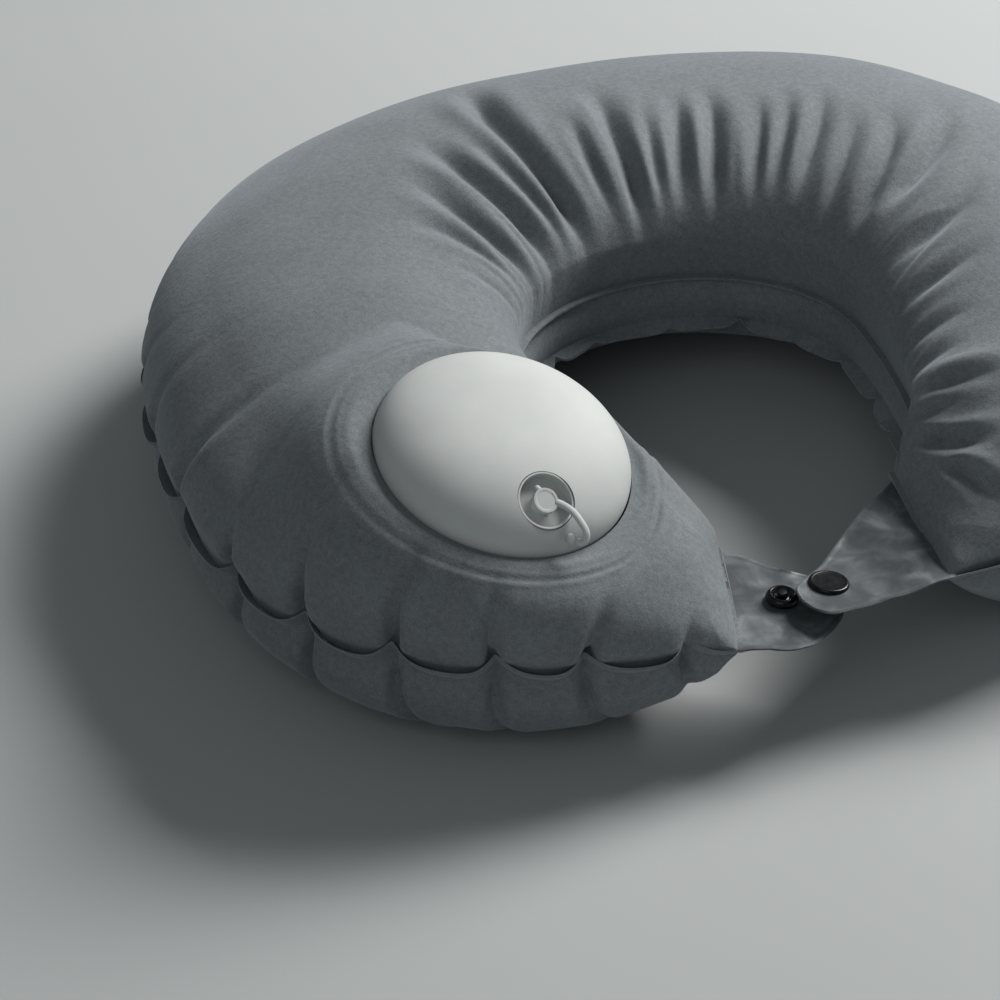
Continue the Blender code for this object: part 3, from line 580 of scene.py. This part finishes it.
def creasePush(across, arc, fromOuter, puckers, strengths, top):
    # a crease climbs from every pucker and dies out; some reach further than others
    push = np.zeros_like(across)
    for index, (place, strength) in enumerate(zip(puckers, strengths)):
        reach = envelope["creaseLength"] * (0.7 + 0.6 * ((index * 0.618) % 1))
        reach *= strength if top else envelope["bottomLength"]
        distance = arc - place + (fromOuter * (0.12 * math.sin(index * 2.4)))
        width = envelope["creaseWidth"] + fromOuter * envelope["creaseSpread"]
        groove = np.exp(-np.abs(distance / width) ** 1.6)
        groove = groove - 0.16 * np.exp(-((np.abs(distance) - 2.4 * width) / (1.3 * width)) ** 2)
        depth = envelope["creaseDepth"] * strength * (1 if top else envelope["bottomDepth"])
        push -= depth * groove * np.exp(-(fromOuter / reach) ** 1.5) * np.clip(across / 0.004, 0, 1)
    return push


def foldPush(station, across, stretch):
    # each fold is a valley with a ridge beside it, narrowing as it runs down; stretch is metres per station
    push = np.zeros_like(across)
    for startStation, endStation, startAcross, endAcross, depth, width in neckFolds:
        share = np.clip((across - startAcross) / (endAcross - startAcross), 0, 1)
        centre = startStation + (endStation - startStation) * share ** 0.8
        distance = (station - centre) * stretch
        taper = smooth(startAcross - 0.05, startAcross + 0.22, across)
        taper = taper * (1 - smooth(endAcross - 0.12, endAcross + 0.01, across))
        reach = width * mm * (1.0 - 0.5 * share)
        valley = np.exp(-np.abs(distance / reach) ** 1.5)
        ridge = np.exp(-((distance + 1.8 * reach) / reach) ** 2)
        ridge = ridge + 0.5 * np.exp(-((distance - 1.8 * reach) / reach) ** 2)
        push += depth * envelope["foldStrength"] * taper * (0.4 * ridge - valley)
    return push


def unevenness(points, name, seed):
    height, scale = envelope[name]
    return height * smoothNoise(points, scale, seed)


def panelRows(stations, seamArc, puckers, rows, top):
    spread = (1 - np.cos(np.linspace(0, math.pi, rows + 1))) / 2
    station, across = np.meshgrid(stations, spread, indexing="ij")
    arc = np.broadcast_to(seamArc[:, None], station.shape)
    end = tipFactor(station)
    strengths = puckerStrengths(puckers, seamArc[-1])
    # distance from the outer seam over the surface, which climbs steeply at first
    wallRise = sectionRise(np.minimum(across, 0.5), seams["fullness"])
    fromOuter = np.hypot(across * 130 * mm, wallRise * (57 if top else 38) * mm)
    points = inflatedPanel(station, across, arc, fromOuter, puckers, strengths, top)

    normal = surfaceNormal(points) * (1 if top else -1)
    quiet = 1.0              # no creases on the pump's landing
    push = creasePush(across, arc, fromOuter, puckers, strengths, top)
    if top:
        local = pumpLocal(points)
        quiet = smooth(46 * mm, 60 * mm, np.hypot(local[..., 0], local[..., 1]))
        perStation = np.maximum(np.gradient(station, axis=0), 1e-9)
        push += foldPush(station, across, np.linalg.norm(np.gradient(points, axis=0), axis=-1) / perStation)
    # the film gathers where a lobe narrows to its tab
    gathered = (1 - smooth(0.2, 0.65, end)) * smooth(0, 0.06, across) * smooth(0, 0.04, 1 - across)
    height, scale = envelope["gather"]
    push += height * gathered * (1 - 2 * np.abs(smoothNoise(points, scale, 8)))
    push = push * quiet * smooth(0.0, 0.25, end)
    push += unevenness(points, "ripple", 3) * smooth(0, 0.08, across) * smooth(0, 0.08, 1 - across) * quiet
    push += unevenness(points, "wave", 5) * smooth(0, 0.15, across) * smooth(0, 0.15, 1 - across) * quiet
    points += normal * push[..., None]

    cusp = cuspRow(arc, puckers, envelope["cuspWidth"], envelope["cuspLean"])
    pull = cusp * np.exp(-(fromOuter / envelope["cuspReach"]) ** 1.3)
    points[..., :2] -= planNormal(outerSeam, station, 1) * (envelope["cuspIn"] * pull)[..., None]
    points[..., 2] += envelope["cuspUp"] * pull
    return points


zUp = np.array([0, 0, 1.0])


def outerMarginRows(seamTop, seamBottom, stations, arc, puckers):
    # the flat weld margin outside the outer seam, turned up and waved
    outward = np.pad(planNormal(outerSeam, stations, 1), ((0, 0), (0, 1)))
    cusp = cuspRow(arc, puckers, envelope["cuspWidth"] * 0.8, envelope["cuspLean"])
    lift = 0.8 * mm * np.sin(arc / (61 * mm))
    turnUp = math.radians(envelope["marginTurnUp"])
    atTip = 0.45 + 0.55 * smooth(0, 0.5, tipFactor(stations))
    above = []
    below = []
    for share in (1.0, 0.66, 0.33):
        reach = envelope["outerMargin"] * math.cos(turnUp) * share * (1 - 0.2 * cusp) * atTip
        rise = envelope["outerMargin"] * math.sin(turnUp) * share * atTip + lift * share
        offset = outward * reach[:, None] + zUp * rise[:, None]
        above.append(seamTop + offset)
        below.append(seamBottom + offset)
    return above, below


def neckWallRows(lipTop, lipBottom, stations):
    # a short lip, the gusset's wall down to the lower inner seam, and that seam's scalloped lip
    neckward = np.pad(planNormal(innerSeam, stations, -1), ((0, 0), (0, 1)))
    arc = arcAlong(innerSeam(stations))
    rng = np.random.default_rng(11)
    scallops = []
    place = 8 * mm
    while place < arc[-1]:
        scallops.append(place)
        place += rng.uniform(17, 33) * mm
    cusp = np.minimum(sum(cuspShape(arc - place, 2.6 * mm, 1.3) * (0.45 + 0.55 * (k % 3 == 1))
                          for k, place in enumerate(scallops)), 1)
    thickness = zUp * envelope["marginThickness"]
    topEdge = lipTop + neckward * envelope["topLip"] + zUp * 0.3 * mm
    wallTop = lipTop - thickness + neckward * 0.2 * mm
    bottomReach = envelope["bottomLip"] * (1 - 0.6 * cusp)
    bottomDrop = -2.2 * mm + 3.0 * mm * cusp + 0.8 * mm * np.sin(arc / (9 * mm))
    bottomEdge = lipBottom + neckward * bottomReach[:, None] + zUp * bottomDrop[:, None]
    wallBottom = lipBottom + thickness + neckward * 0.2 * mm
    wall = []
    for k in range(1, envelope["wallRows"]):
        share = k / envelope["wallRows"]
        swell = 1.6 * mm * math.sin(math.pi * share) * tipFactor(stations)
        wall.append(wallTop * (1 - share) + wallBottom * share + neckward * swell[:, None])
    return [topEdge, topEdge - thickness, wallTop] + wall + [wallBottom, bottomEdge + thickness, bottomEdge]


def acrossMouth(side):
    # level, straight out of a lobe's end towards the other lobe
    name = "right" if side > 0 else "left"
    line = np.array(seams[name + "TipInner"]) - np.array(seams[name + "TipOuter"])
    return np.array([-line[1] * side, line[0], 0.0]) / np.linalg.norm(line)


def buildEnvelope():
    stations = stationList(envelope["stations"])
    arc = arcAlong(outerSeam(stations))
    puckers = puckerPlaces(arc[-1])
    top = panelRows(stations, arc, puckers, envelope["topRows"], True)
    bottom = panelRows(stations, arc, puckers, envelope["bottomRows"], False)
    bottom[..., 2] = np.maximum(bottom[..., 2], 0.2 * mm)
    half = envelope["marginThickness"] / 2
    top[..., 2] += half
    bottom[..., 2] -= half
    bottom[..., 2] = np.maximum(bottom[..., 2], 0.15 * mm)         # the underside rests flat

    above, below = outerMarginRows(top[:, 0], bottom[:, 0], stations, arc, puckers)
    ring = above + [top[:, j] for j in range(top.shape[1])]
    ring += neckWallRows(top[:, -1], bottom[:, -1], stations)
    ring += [bottom[:, j] for j in range(bottom.shape[1] - 1, -1, -1)] + below[::-1]
    grid = np.stack(ring, 1)
    # the weld margin carries on a little past each tip
    first = grid[:1] + acrossMouth(-1) * envelope["tipMargin"]
    last = grid[-1:] + acrossMouth(1) * envelope["tipMargin"]
    return np.concatenate([first, grid, last])


def gridToMesh(name, grid):
    stations, count, _ = grid.shape
    body = bmesh.new()
    verts = [body.verts.new(point) for point in grid.reshape(-1, 3)]
    for i in range(stations - 1):
        here, beyond = i * count, (i + 1) * count
        for j in range(count):
            k = (j + 1) % count
            body.faces.new([verts[n] for n in (here + j, beyond + j, beyond + k, here + k)])
    # the end sections are flat strips, so opposite points are bridged in pairs
    for start in (0, (stations - 1) * count):
        low, high = start, start + count - 1
        while high - low > 2:
            body.faces.new([verts[n] for n in (low, low + 1, high - 1, high)])
            low += 1
            high -= 1
        if high - low == 2:
            body.faces.new([verts[n] for n in (low, low + 1, high)])
    bmesh.ops.recalc_face_normals(body, faces=body.faces)
    return meshPiece(name, body)


def meshPiece(name, body):
    mesh = bpy.data.meshes.new(name)
    body.to_mesh(mesh)
    body.free()
    piece = bpy.data.objects.new(name, mesh)
    bpy.context.scene.collection.objects.link(piece)
    return piece


def selectOnly(piece):
    bpy.ops.object.select_all(action="DESELECT")
    piece.select_set(True)
    bpy.context.view_layer.objects.active = piece


def finishPiece(piece, material, angle=40):
    piece.data.materials.clear()
    piece.data.materials.append(material)
    selectOnly(piece)
    bpy.ops.object.shade_smooth_by_angle(angle=math.radians(angle))


def cutRound(piece, radius, depth, place, corners):
    # takes a round bar's shape out of a piece
    bpy.ops.mesh.primitive_cylinder_add(vertices=corners, radius=radius, depth=depth)
    cutter = bpy.context.object
    cutter.matrix_world = place
    selectOnly(piece)
    cut = piece.modifiers.new("opening", "BOOLEAN")
    cut.operation = "DIFFERENCE"
    cut.object = cutter
    cut.solver = "EXACT"
    bpy.ops.object.modifier_apply(modifier="opening")
    bpy.data.objects.remove(cutter)


# the round opening that the pump comes out of
opening = {"radius": 44.1 * mm, "depth": 46 * mm, "middle": 8.5 * mm, "corners": 160}

pillow = gridToMesh("pillow_envelope", buildEnvelope())
cutRound(pillow, opening["radius"], opening["depth"], pumpFrame @ Matrix.Translation((0, 0, opening["middle"])),
         opening["corners"])
finishPiece(pillow, flock, 60)
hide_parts("top_panel", "bottom_panel", "inner_gusset")
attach(pillow, "root")
print("envelope done")


# turned pieces: a disc whose face is extruded and resized ring by ring

def softenEdges(piece, width):
    # a moulded edge: the flat faces beside it keep their own shading
    selectOnly(piece)
    soften = piece.modifiers.new("soften", "BEVEL")
    soften.width = width
    soften.segments = 2
    soften.limit_method = "ANGLE"
    soften.angle_limit = math.radians(35)
    soften.harden_normals = True
    bpy.ops.object.modifier_apply(modifier="soften")


def turnedPiece(name, rings, place, material, segments=64, bevel=None):
    # rings: (radius, height) from the first flat end to the last
    bpy.ops.object.select_all(action="DESELECT")
    radius, height = rings[0]
    bpy.ops.mesh.primitive_circle_add(vertices=segments, radius=radius, fill_type="NGON", location=(0, 0, height))
    piece = bpy.context.object
    piece.name = name
    bpy.ops.object.transform_apply(location=True, rotation=True, scale=True)
    bpy.ops.object.mode_set(mode="EDIT")
    bpy.ops.mesh.select_all(action="SELECT")
    for nextRadius, nextHeight in rings[1:]:
        bpy.ops.mesh.extrude_region_move(TRANSFORM_OT_translate={"value": (0, 0, nextHeight - height)})
        scale = nextRadius / radius
        if abs(scale - 1) > 1e-6:
            bpy.ops.transform.resize(value=(scale, scale, 1), center_override=(0, 0, nextHeight))
        radius, height = nextRadius, nextHeight
    bpy.ops.mesh.select_all(action="SELECT")
    bpy.ops.mesh.normals_make_consistent(inside=False)
    bpy.ops.object.mode_set(mode="OBJECT")
    piece.matrix_world = place
    bpy.ops.object.transform_apply(location=True, rotation=True, scale=True)
    finishPiece(piece, material)
    if bevel:
        softenEdges(piece, bevel)
    return piece


def superDome(radius, height, count):
    # rings from the rim up to the crown
    rings = []
    for k in range(count):
        angle = k / count * math.pi / 2
        rings.append((radius * math.cos(angle) ** (2 / pump["squareness"]),
                      height * math.sin(angle) ** (2 / pump["squareness"])))
    return rings


dome = {"skirt": -1.5 * mm, "wall": 1.6 * mm, "rings": 40, "segments": 160, "edge": 0.35 * mm, "crownFlat": 0.4 * mm,
        "inletGap": 0.25 * mm, "inletDepth": 14 * mm, "inletMiddle": -2.5 * mm}
inlet = {
    "angle": -86.2, "reach": 31.5 * mm, "lean": 24.2,
    "cupRadius": 9.7 * mm, "recess": 9.0 * mm, "depth": 3.9 * mm, "sink": 1.0 * mm,
    "neck": 3.6 * mm, "neckRise": 2.0 * mm, "bore": 2.35 * mm, "throat": 8.0 * mm,
    "head": 4.25 * mm, "headThickness": 1.8 * mm, "stem": 2.15 * mm,
}


def domeHeight(radius):
    return pump["height"] * (1 - (radius / pump["radius"]) ** pump["squareness"]) ** (1 / pump["squareness"])


inletFrame = (pumpFrame @ Matrix.Rotation(math.radians(inlet["angle"]), 4, "Z")
              @ Matrix.Translation((inlet["reach"], 0, domeHeight(inlet["reach"])))
              @ Matrix.Rotation(math.radians(inlet["lean"]), 4, "Y"))


def buildDome():
    # down the inside, round the rim and up the outside
    wall = dome["wall"]
    rings = superDome(pump["radius"] - wall, pump["height"] - wall, dome["rings"])[::-1]
    rings += [(pump["radius"] - wall, dome["skirt"]), (pump["radius"] - 0.2 * mm, dome["skirt"])]
    rings += superDome(pump["radius"], pump["height"], dome["rings"]) + [(dome["crownFlat"], pump["height"])]
    bulb = turnedPiece("pump_bulb_skin", rings, pumpFrame, vinyl, dome["segments"])
    cutRound(bulb, inlet["cupRadius"] + dome["inletGap"], dome["inletDepth"],
             inletFrame @ Matrix.Translation((0, 0, dome["inletMiddle"])), 96)
    finishPiece(bulb, vinyl)
    softenEdges(bulb, dome["edge"])
    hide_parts("pump_bulb")
    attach(bulb, "root")
    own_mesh(bulb)


buildDome()


foamPad = {"radius": 38 * mm, "headroom": 1.0 * mm, "bottom": -10.2 * mm, "edge": 2.0 * mm, "keep": 0.6,
           "inletRoom": 2.0 * mm, "inletDepth": 30 * mm}


def buildFoam():
    # the springy pad that lifts the bulb again; it shows only through the inlet's cut-out
    top = superDome(pump["radius"] - dome["wall"], pump["height"] - dome["wall"] - foamPad["headroom"], 24)
    top = [ring for ring in top if ring[0] < foamPad["radius"]]
    rings = [(foamPad["radius"], foamPad["bottom"]), (foamPad["radius"], top[0][1] - foamPad["edge"])]
    pad = turnedPiece("pump_foam_pad", rings + top, pumpFrame, foam, 96)
    cutRound(pad, inlet["cupRadius"] + foamPad["inletRoom"], foamPad["inletDepth"], inletFrame, 64)
    finishPiece(pad, foam)
    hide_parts("pump_foam")
    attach(pad, "root")
    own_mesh(pad)


buildFoam()
print("bulb done")


def buildInlet():
    # the cup goes up its outside, over the rim and down to the raised neck that the plug sits in
    rim = -inlet["sink"]
    floor = rim - inlet["depth"]
    neckTop = floor + inlet["neckRise"]
    rings = [(inlet["neck"], -inlet["throat"]), (inlet["neck"], floor - 1.2 * mm),
             (inlet["cupRadius"], floor - 1.2 * mm), (inlet["cupRadius"], rim), (inlet["recess"], rim),
             (inlet["recess"] - 0.3 * mm, floor), (inlet["recess"] - 0.9 * mm, floor),
             (inlet["neck"] + 0.9 * mm, floor), (inlet["neck"] + 0.2 * mm, floor), (inlet["neck"], neckTop),
             (inlet["bore"], neckTop), (inlet["bore"], -inlet["throat"] + 1.0 * mm)]
    cup = turnedPiece("inlet_cup_skin", rings, inletFrame, vinyl, 72, 0.2 * mm)
    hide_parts("inlet_cup")
    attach(cup, "pump_crown")

    low = neckTop + 0.3 * mm
    high = low + inlet["headThickness"]
    rings = [(inlet["stem"] - 0.4 * mm, low - 4.4 * mm), (inlet["stem"], low - 4.0 * mm), (inlet["stem"], low),
             (inlet["head"], low), (inlet["head"], high), (inlet["head"] - 0.9 * mm, high),
             (inlet["head"] - 1.1 * mm, high - 0.15 * mm)]
    plug = turnedPiece("inlet_plug_skin", rings, inletFrame, vinyl, 64, 0.25 * mm)
    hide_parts("inlet_plug")
    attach(plug, "plug")


buildInlet()


def smoothLine(points, count):
    # a Catmull-Rom line through the points, evenly spaced
    points = np.array(points, float)
    padded = np.concatenate([2 * points[:1] - points[1:2], points, 2 * points[-1:] - points[-2:-1]])
    line = []
    for k in range(len(points) - 1):
        a, b, c, d = padded[k:k + 4]
        for t in np.linspace(0, 1, 24, endpoint=False):
            line.append(0.5 * (2 * b + (c - a) * t + (2 * a - 5 * b + 4 * c - d) * t * t
                               + (3 * b - a - 3 * c + d) * t ** 3))
    line = np.array(line + [points[-1]])
    along = np.concatenate([[0], np.cumsum(np.linalg.norm(np.diff(line, axis=0), axis=1))])
    wanted = np.linspace(0, along[-1], count)
    return np.stack([np.interp(wanted, along, line[:, k]) for k in range(3)], -1)


strap = {
    "width": 1.25, "thickness": 0.75, "steps": 60, "corners": 24,
    # inlet frame in mm: x downhill, y round the bulb, z out of it
    "route": [(0.6, 3.0, -1.4), (2.2, 5.3, -0.7), (5.3, 7.4, 1.0), (9.6, 9.0, 2.0), (12.9, 9.9, 1.9),
              (15.0, 9.6, 0.9), (15.6, 8.2, 0.1), (14.6, 6.6, -0.3)],
    "heldAt": (11, 9, 1), "freeAt": (0.8, 3.2, 1),
    "nub": [(-2.6, -0.2, -1.75), (-4.3, -1.5, -1.75), (-5.2, -2.3, -1.7)], "nubWidth": 1.1, "nubSteps": 24,
    "knob": (13.6, 5.4, -0.9), "knobRadius": 1.9, "knobHeight": 1.3, "knobTilt": 22,
}


def sweptPiece(name, route, width, place, material, steps):
    # a rounded bar swept along a line, flat side towards the frame's z
    thickness, corners = strap["thickness"], strap["corners"]
    line = smoothLine(route, steps)
    rows = []
    for k, point in enumerate(line):
        run = Vector(line[min(k + 1, steps - 1)] - line[max(k - 1, 0)]).normalized()
        side = run.cross(Vector((0, 0, 1))).normalized()
        up = side.cross(run)
        near = min(k, steps - 1 - k) / (steps - 1) * np.linalg.norm(line[-1] - line[0]) * 2.0
        taper = math.sqrt(min(1, (near + 0.25) / 1.4))
        rows.append([Vector(point) + side * math.cos(a) * width * taper + up * math.sin(a) * thickness * taper
                     for a in np.linspace(0, 2 * math.pi, corners, endpoint=False)])
    body = bmesh.new()
    loops = [[body.verts.new(place @ (corner * mm)) for corner in row] for row in rows]
    for one, two in zip(loops, loops[1:]):
        for k in range(corners):
            body.faces.new((one[k], one[(k + 1) % corners], two[(k + 1) % corners], two[k]))
    body.faces.new(loops[0])
    body.faces.new(loops[-1])
    bmesh.ops.recalc_face_normals(body, faces=body.faces)
    piece = meshPiece(name, body)
    finishPiece(piece, material, 60)
    return piece


def buildStrap():
    band = sweptPiece("plug_strap", strap["route"], strap["width"], inletFrame, vinyl, strap["steps"])
    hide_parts("plug_tether")
    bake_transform(band)
    nub = sweptPiece("plug_pull_nub", strap["nub"], strap["nubWidth"], inletFrame, vinyl, strap["nubSteps"])
    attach(nub, "plug")
    tilt = Matrix.Rotation(math.radians(strap["knobTilt"]), 4, "Y")
    place = inletFrame @ Matrix.Translation(Vector(strap["knob"]) * mm) @ tilt
    radius, height = strap["knobRadius"] * mm, strap["knobHeight"] * mm
    rings = [(radius, -0.8 * mm), (radius, height * 0.6), (radius * 0.8, height), (radius * 0.3, height * 1.15)]
    knob = turnedPiece("strap_anchor_knob", rings, place, vinyl, 40, 0.2 * mm)
    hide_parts("tether_anchor")
    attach(knob, "pump_crown")


buildStrap()
print("inlet done")


# the two tabs are film sheets that leave the lobes and overlap at the snap

tabs = {
    "thickness": 0.9, "columns": 90, "rows": 56,
    # edges in mm: out across the mouth, along the bend line towards the neck, up from the tab's plane
    "leftNeck": [(-16, 29, 0.2), (-7, 27.5, 1.0), (0, 26, 1.2), (7, 21.5, 1.3), (15, 17.5, 1.0), (22, 15.4, 0.4),
                 (30, 11, -0.2), (33.6, 2, -0.8)],
    "leftFront": [(-12, -26, 0.2), (-5, -27.5, 1.0), (0, -27, 1.2), (14, -26.3, 1.0), (22.5, -20.5, 0.5),
                  (30, -9.5, -0.2), (33.6, 2, -0.8)],
    "leftSnap": (11.7, -0.6),
    "rightNeck": [(-34, 43, 6), (-22, 36, 7), (-12, 30.5, 7.2), (0, 26.5, 6), (10, 22.5, 3.2), (21, 17.5, 0.4),
                  (30.5, 12.8, -1.1), (41, 9.0, -1.2), (46.5, 6.2, -1.5), (49, -0.5, -2.0)],
    "rightFront": [(-14, -11, 4), (-7, -16, 4.2), (0, -19.5, 4.2), (9, -18.5, 3.4), (18, -16.8, 1.2), (28, -14.4, -0.8),
                   (39, -12.6, -1.2), (45, -11.0, -1.5), (48.3, -6.5, -1.9), (49, -0.5, -2.0)],
    "rightSnap": (35.2, 3.1),
    # height and size of the film's folds, how far from the snap it is flat and loose, and its rolled cut edge
    "fine": (0.55, 5.5), "broad": (0.9, 13.0), "flatTo": 5.5, "looseFrom": 12, "roll": 0.55,
    "bendStart": -3 * mm, "bendEnd": 7 * mm,
}


def crinkle(points, scale, seed, sharp):
    # broken facets, as in a film that has been folded: ridges where two waves cross
    rng = np.random.default_rng(seed)
    total = np.zeros(points.shape[:-1])
    for _ in range(5):
        angle = rng.uniform(0, math.pi)
        phase = rng.uniform(0, 6.28)
        wave = (points[..., 0] * math.cos(angle) + points[..., 1] * math.sin(angle)) / scale * rng.uniform(0.6, 1.6)
        total += 1 - 2 * np.abs(np.sin(wave + phase)) ** sharp
    return total / 5


def tabGrid(side, seed):
    neck = smoothLine(tabs[side + "Neck"], tabs["columns"])
    front = smoothLine(tabs[side + "Front"], tabs["columns"])
    across = np.linspace(0, 1, tabs["rows"])
    grid = neck[:, None] * (1 - across)[None, :, None] + front[:, None] * across[None, :, None]
    fromRoot = np.linspace(0, 1, tabs["columns"])[:, None]
    toEdge = np.minimum(across, 1 - across)[None, :] * np.linalg.norm(neck - front, axis=1)[:, None]
    snapAt = tabs[side + "Snap"]
    loose = smooth(tabs["flatTo"], tabs["looseFrom"], np.hypot(grid[..., 0] - snapAt[0], grid[..., 1] - snapAt[1]))
    fine, fineScale = tabs["fine"]
    broad, broadScale = tabs["broad"]
    height = fine * crinkle(grid, fineScale, seed, 0.8) + broad * crinkle(grid, broadScale, seed + 1, 1.2)
    height *= loose * (1 - 0.5 * fromRoot)
    height += tabs["roll"] * np.exp(-((toEdge - 0.7) / 0.6) ** 2)
    grid[..., 2] += height
    return grid


def buildTab(side, place, seed, neckward):
    # neckward is the sign of the frame's y that points at the neck
    grid = tabGrid(side, seed)
    grid[..., 1] *= neckward
    turn = np.array(place)
    body = bmesh.new()
    verts = [[body.verts.new(point) for point in row] for row in (grid * mm) @ turn[:3, :3].T + turn[:3, 3]]
    for row, nextRow in zip(verts, verts[1:]):
        for j in range(len(row) - 1):
            body.faces.new((row[j], nextRow[j], nextRow[j + 1], row[j + 1]))
    bmesh.ops.remove_doubles(body, verts=body.verts, dist=0.02 * mm)
    sheet = meshPiece(side + "_tab_film", body)
    selectOnly(sheet)
    wall = sheet.modifiers.new("thickness", "SOLIDIFY")
    wall.thickness = tabs["thickness"] * mm
    wall.offset = 0
    bpy.ops.object.modifier_apply(modifier="thickness")
    bpy.ops.object.mode_set(mode="EDIT")
    bpy.ops.mesh.select_all(action="SELECT")
    bpy.ops.mesh.normals_make_consistent(inside=False)
    bpy.ops.object.mode_set(mode="OBJECT")
    finishPiece(sheet, tabFilmWithPaintedShade, 60)
    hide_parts(side + "_tab")
    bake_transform(sheet)


buildTab("left", leftFrame, 21, 1)
buildTab("right", rightFrame, 34, -1)
print("tabs done")


# snap fastener: the cap shows on the right tongue and the ring-shaped stud on the left tab

snap = {"capRadius": 6.9, "capLift": 0.55, "studRadius": 5.6, "studLift": 0.3, "studBase": -1.7, "postRadius": 1.9,
        "segments": 72}


def snapPiece(name, node, body, rings, tab, lift):
    place = tab.copy()
    place.translation = boxCentre(node) + tab.to_3x3() @ Vector((0, 0, lift * mm))
    rings = [(radius * mm, height * mm) for radius, height in rings]
    piece = turnedPiece(name, rings, place, snapResin, snap["segments"])
    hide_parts(node)
    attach(piece, body)


def buildSnaps():
    # rings in mm from the riveted side up; the cap has a shallow dish and the stud a post in its ring
    r = snap["capRadius"]
    rings = [(r - 0.5, -1.2), (r, -0.8), (r, -0.1), (r - 0.3, 0.35), (r - 0.8, 0.55), (r - 1.2, 0.42),
             (r - 1.5, 0.38), (r * 0.35, 0.44), (r * 0.1, 0.45)]
    snapPiece("snap_cap_head", "snap_cap", "right_tab", rings, rightFrame, snap["capLift"])
    r = snap["studRadius"]
    post = snap["postRadius"]
    rings = [(r - 0.3, 0), (r, 0.3), (r, 1.1), (r - 0.45, 2.1), (r - 1.0, 2.65), (r - 1.5, 2.8), (r - 2.1, 2.5),
             (r - 2.6, 1.6), (post + 0.5, 1.2), (post, 1.3), (post, 2.6), (post - 0.4, 3.3), (post - 1.3, 3.4)]
    rings = [(radius, height + snap["studBase"]) for radius, height in rings]
    snapPiece("snap_stud_ring", "snap_stud", "left_tab", rings, leftFrame, snap["studLift"])


buildSnaps()
print("snaps done")


studioLights = [
    {"name": "key_softbox", "place": (1.4, 0.55, 1.35), "aim": (-0.05, 0, 0.05), "size": (0.9, 0.9), "power": 66,
     "tint": (1.0, 0.99, 0.97)},
    {"name": "fill_softbox", "place": (-1.2, -1.5, 1.5), "aim": (0, 0, 0.05), "size": (1.8, 1.4), "power": 7,
     "tint": (0.93, 0.97, 1.0)},
]
studio = {"floorSize": 6, "dark": "#a7aaaa", "light": "#abaeae", "haze": 400 * mm, "sky": "#c4ccd0",
          "skyStrength": 0.22}


def makeFloor():
    # matt background board; gives a plain pale grey with a barely seen cloudiness
    material, shader = newMaterial("matt studio floor")
    coords = objectCoords(material)
    haze = addNode(material, "ShaderNodeTexNoise", inputs={"Scale": 1 / studio["haze"], "Detail": 2.0},
                   links={"Vector": (coords, "Object")})
    ramp = addNode(material, "ShaderNodeValToRGB", links={"Fac": (haze, "Fac")})
    rampColors(ramp, [(0.35, linearColor(studio["dark"])), (0.65, linearColor(studio["light"]))])
    material.node_tree.links.new(ramp.outputs["Color"], shader.inputs["Base Color"])
    shader.inputs["Roughness"].default_value = 0.9
    return material


def addStudio():
    bpy.ops.mesh.primitive_grid_add(x_subdivisions=8, y_subdivisions=8, size=studio["floorSize"], location=(0, 0, 0))
    floor = bpy.context.object
    floor.name = "studio_floor"
    floor.data.materials.append(makeFloor())
    for light in studioLights:
        bpy.ops.object.light_add(type="AREA", location=light["place"])
        lamp = bpy.context.object
        lamp.name = light["name"]
        lamp.data.shape = "RECTANGLE"
        lamp.data.size, lamp.data.size_y = light["size"]
        lamp.data.energy = light["power"]
        lamp.data.color = light["tint"]
        lamp.rotation_euler = (Vector(light["aim"]) - Vector(light["place"])).to_track_quat("-Z", "Y").to_euler()
    world = bpy.data.worlds.new("studio air")
    bpy.context.scene.world = world
    world.use_nodes = True
    sky = world.node_tree.nodes["Background"]
    sky.inputs["Color"].default_value = linearColor(studio["sky"])
    sky.inputs["Strength"].default_value = studio["skyStrength"]


addStudio()
bpy.context.scene.view_settings.view_transform = "Standard"
print("studio done")

# the pump's inner parts and the snap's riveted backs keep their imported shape
nodeMaterials = {
    "pump_tray": trayVinyl, "pump_flange": vinyl, "outlet_valve_body": trayVinyl, "outlet_valve_flap": flapFilm,
    "inlet_flap": flapFilm, "stud_back_cap": snapResin, "snap_socket": snapResin,
}
for name, material in nodeMaterials.items():
    node = frame["nodes"][name]
    node.data.materials.clear()
    node.data.materials.append(material)
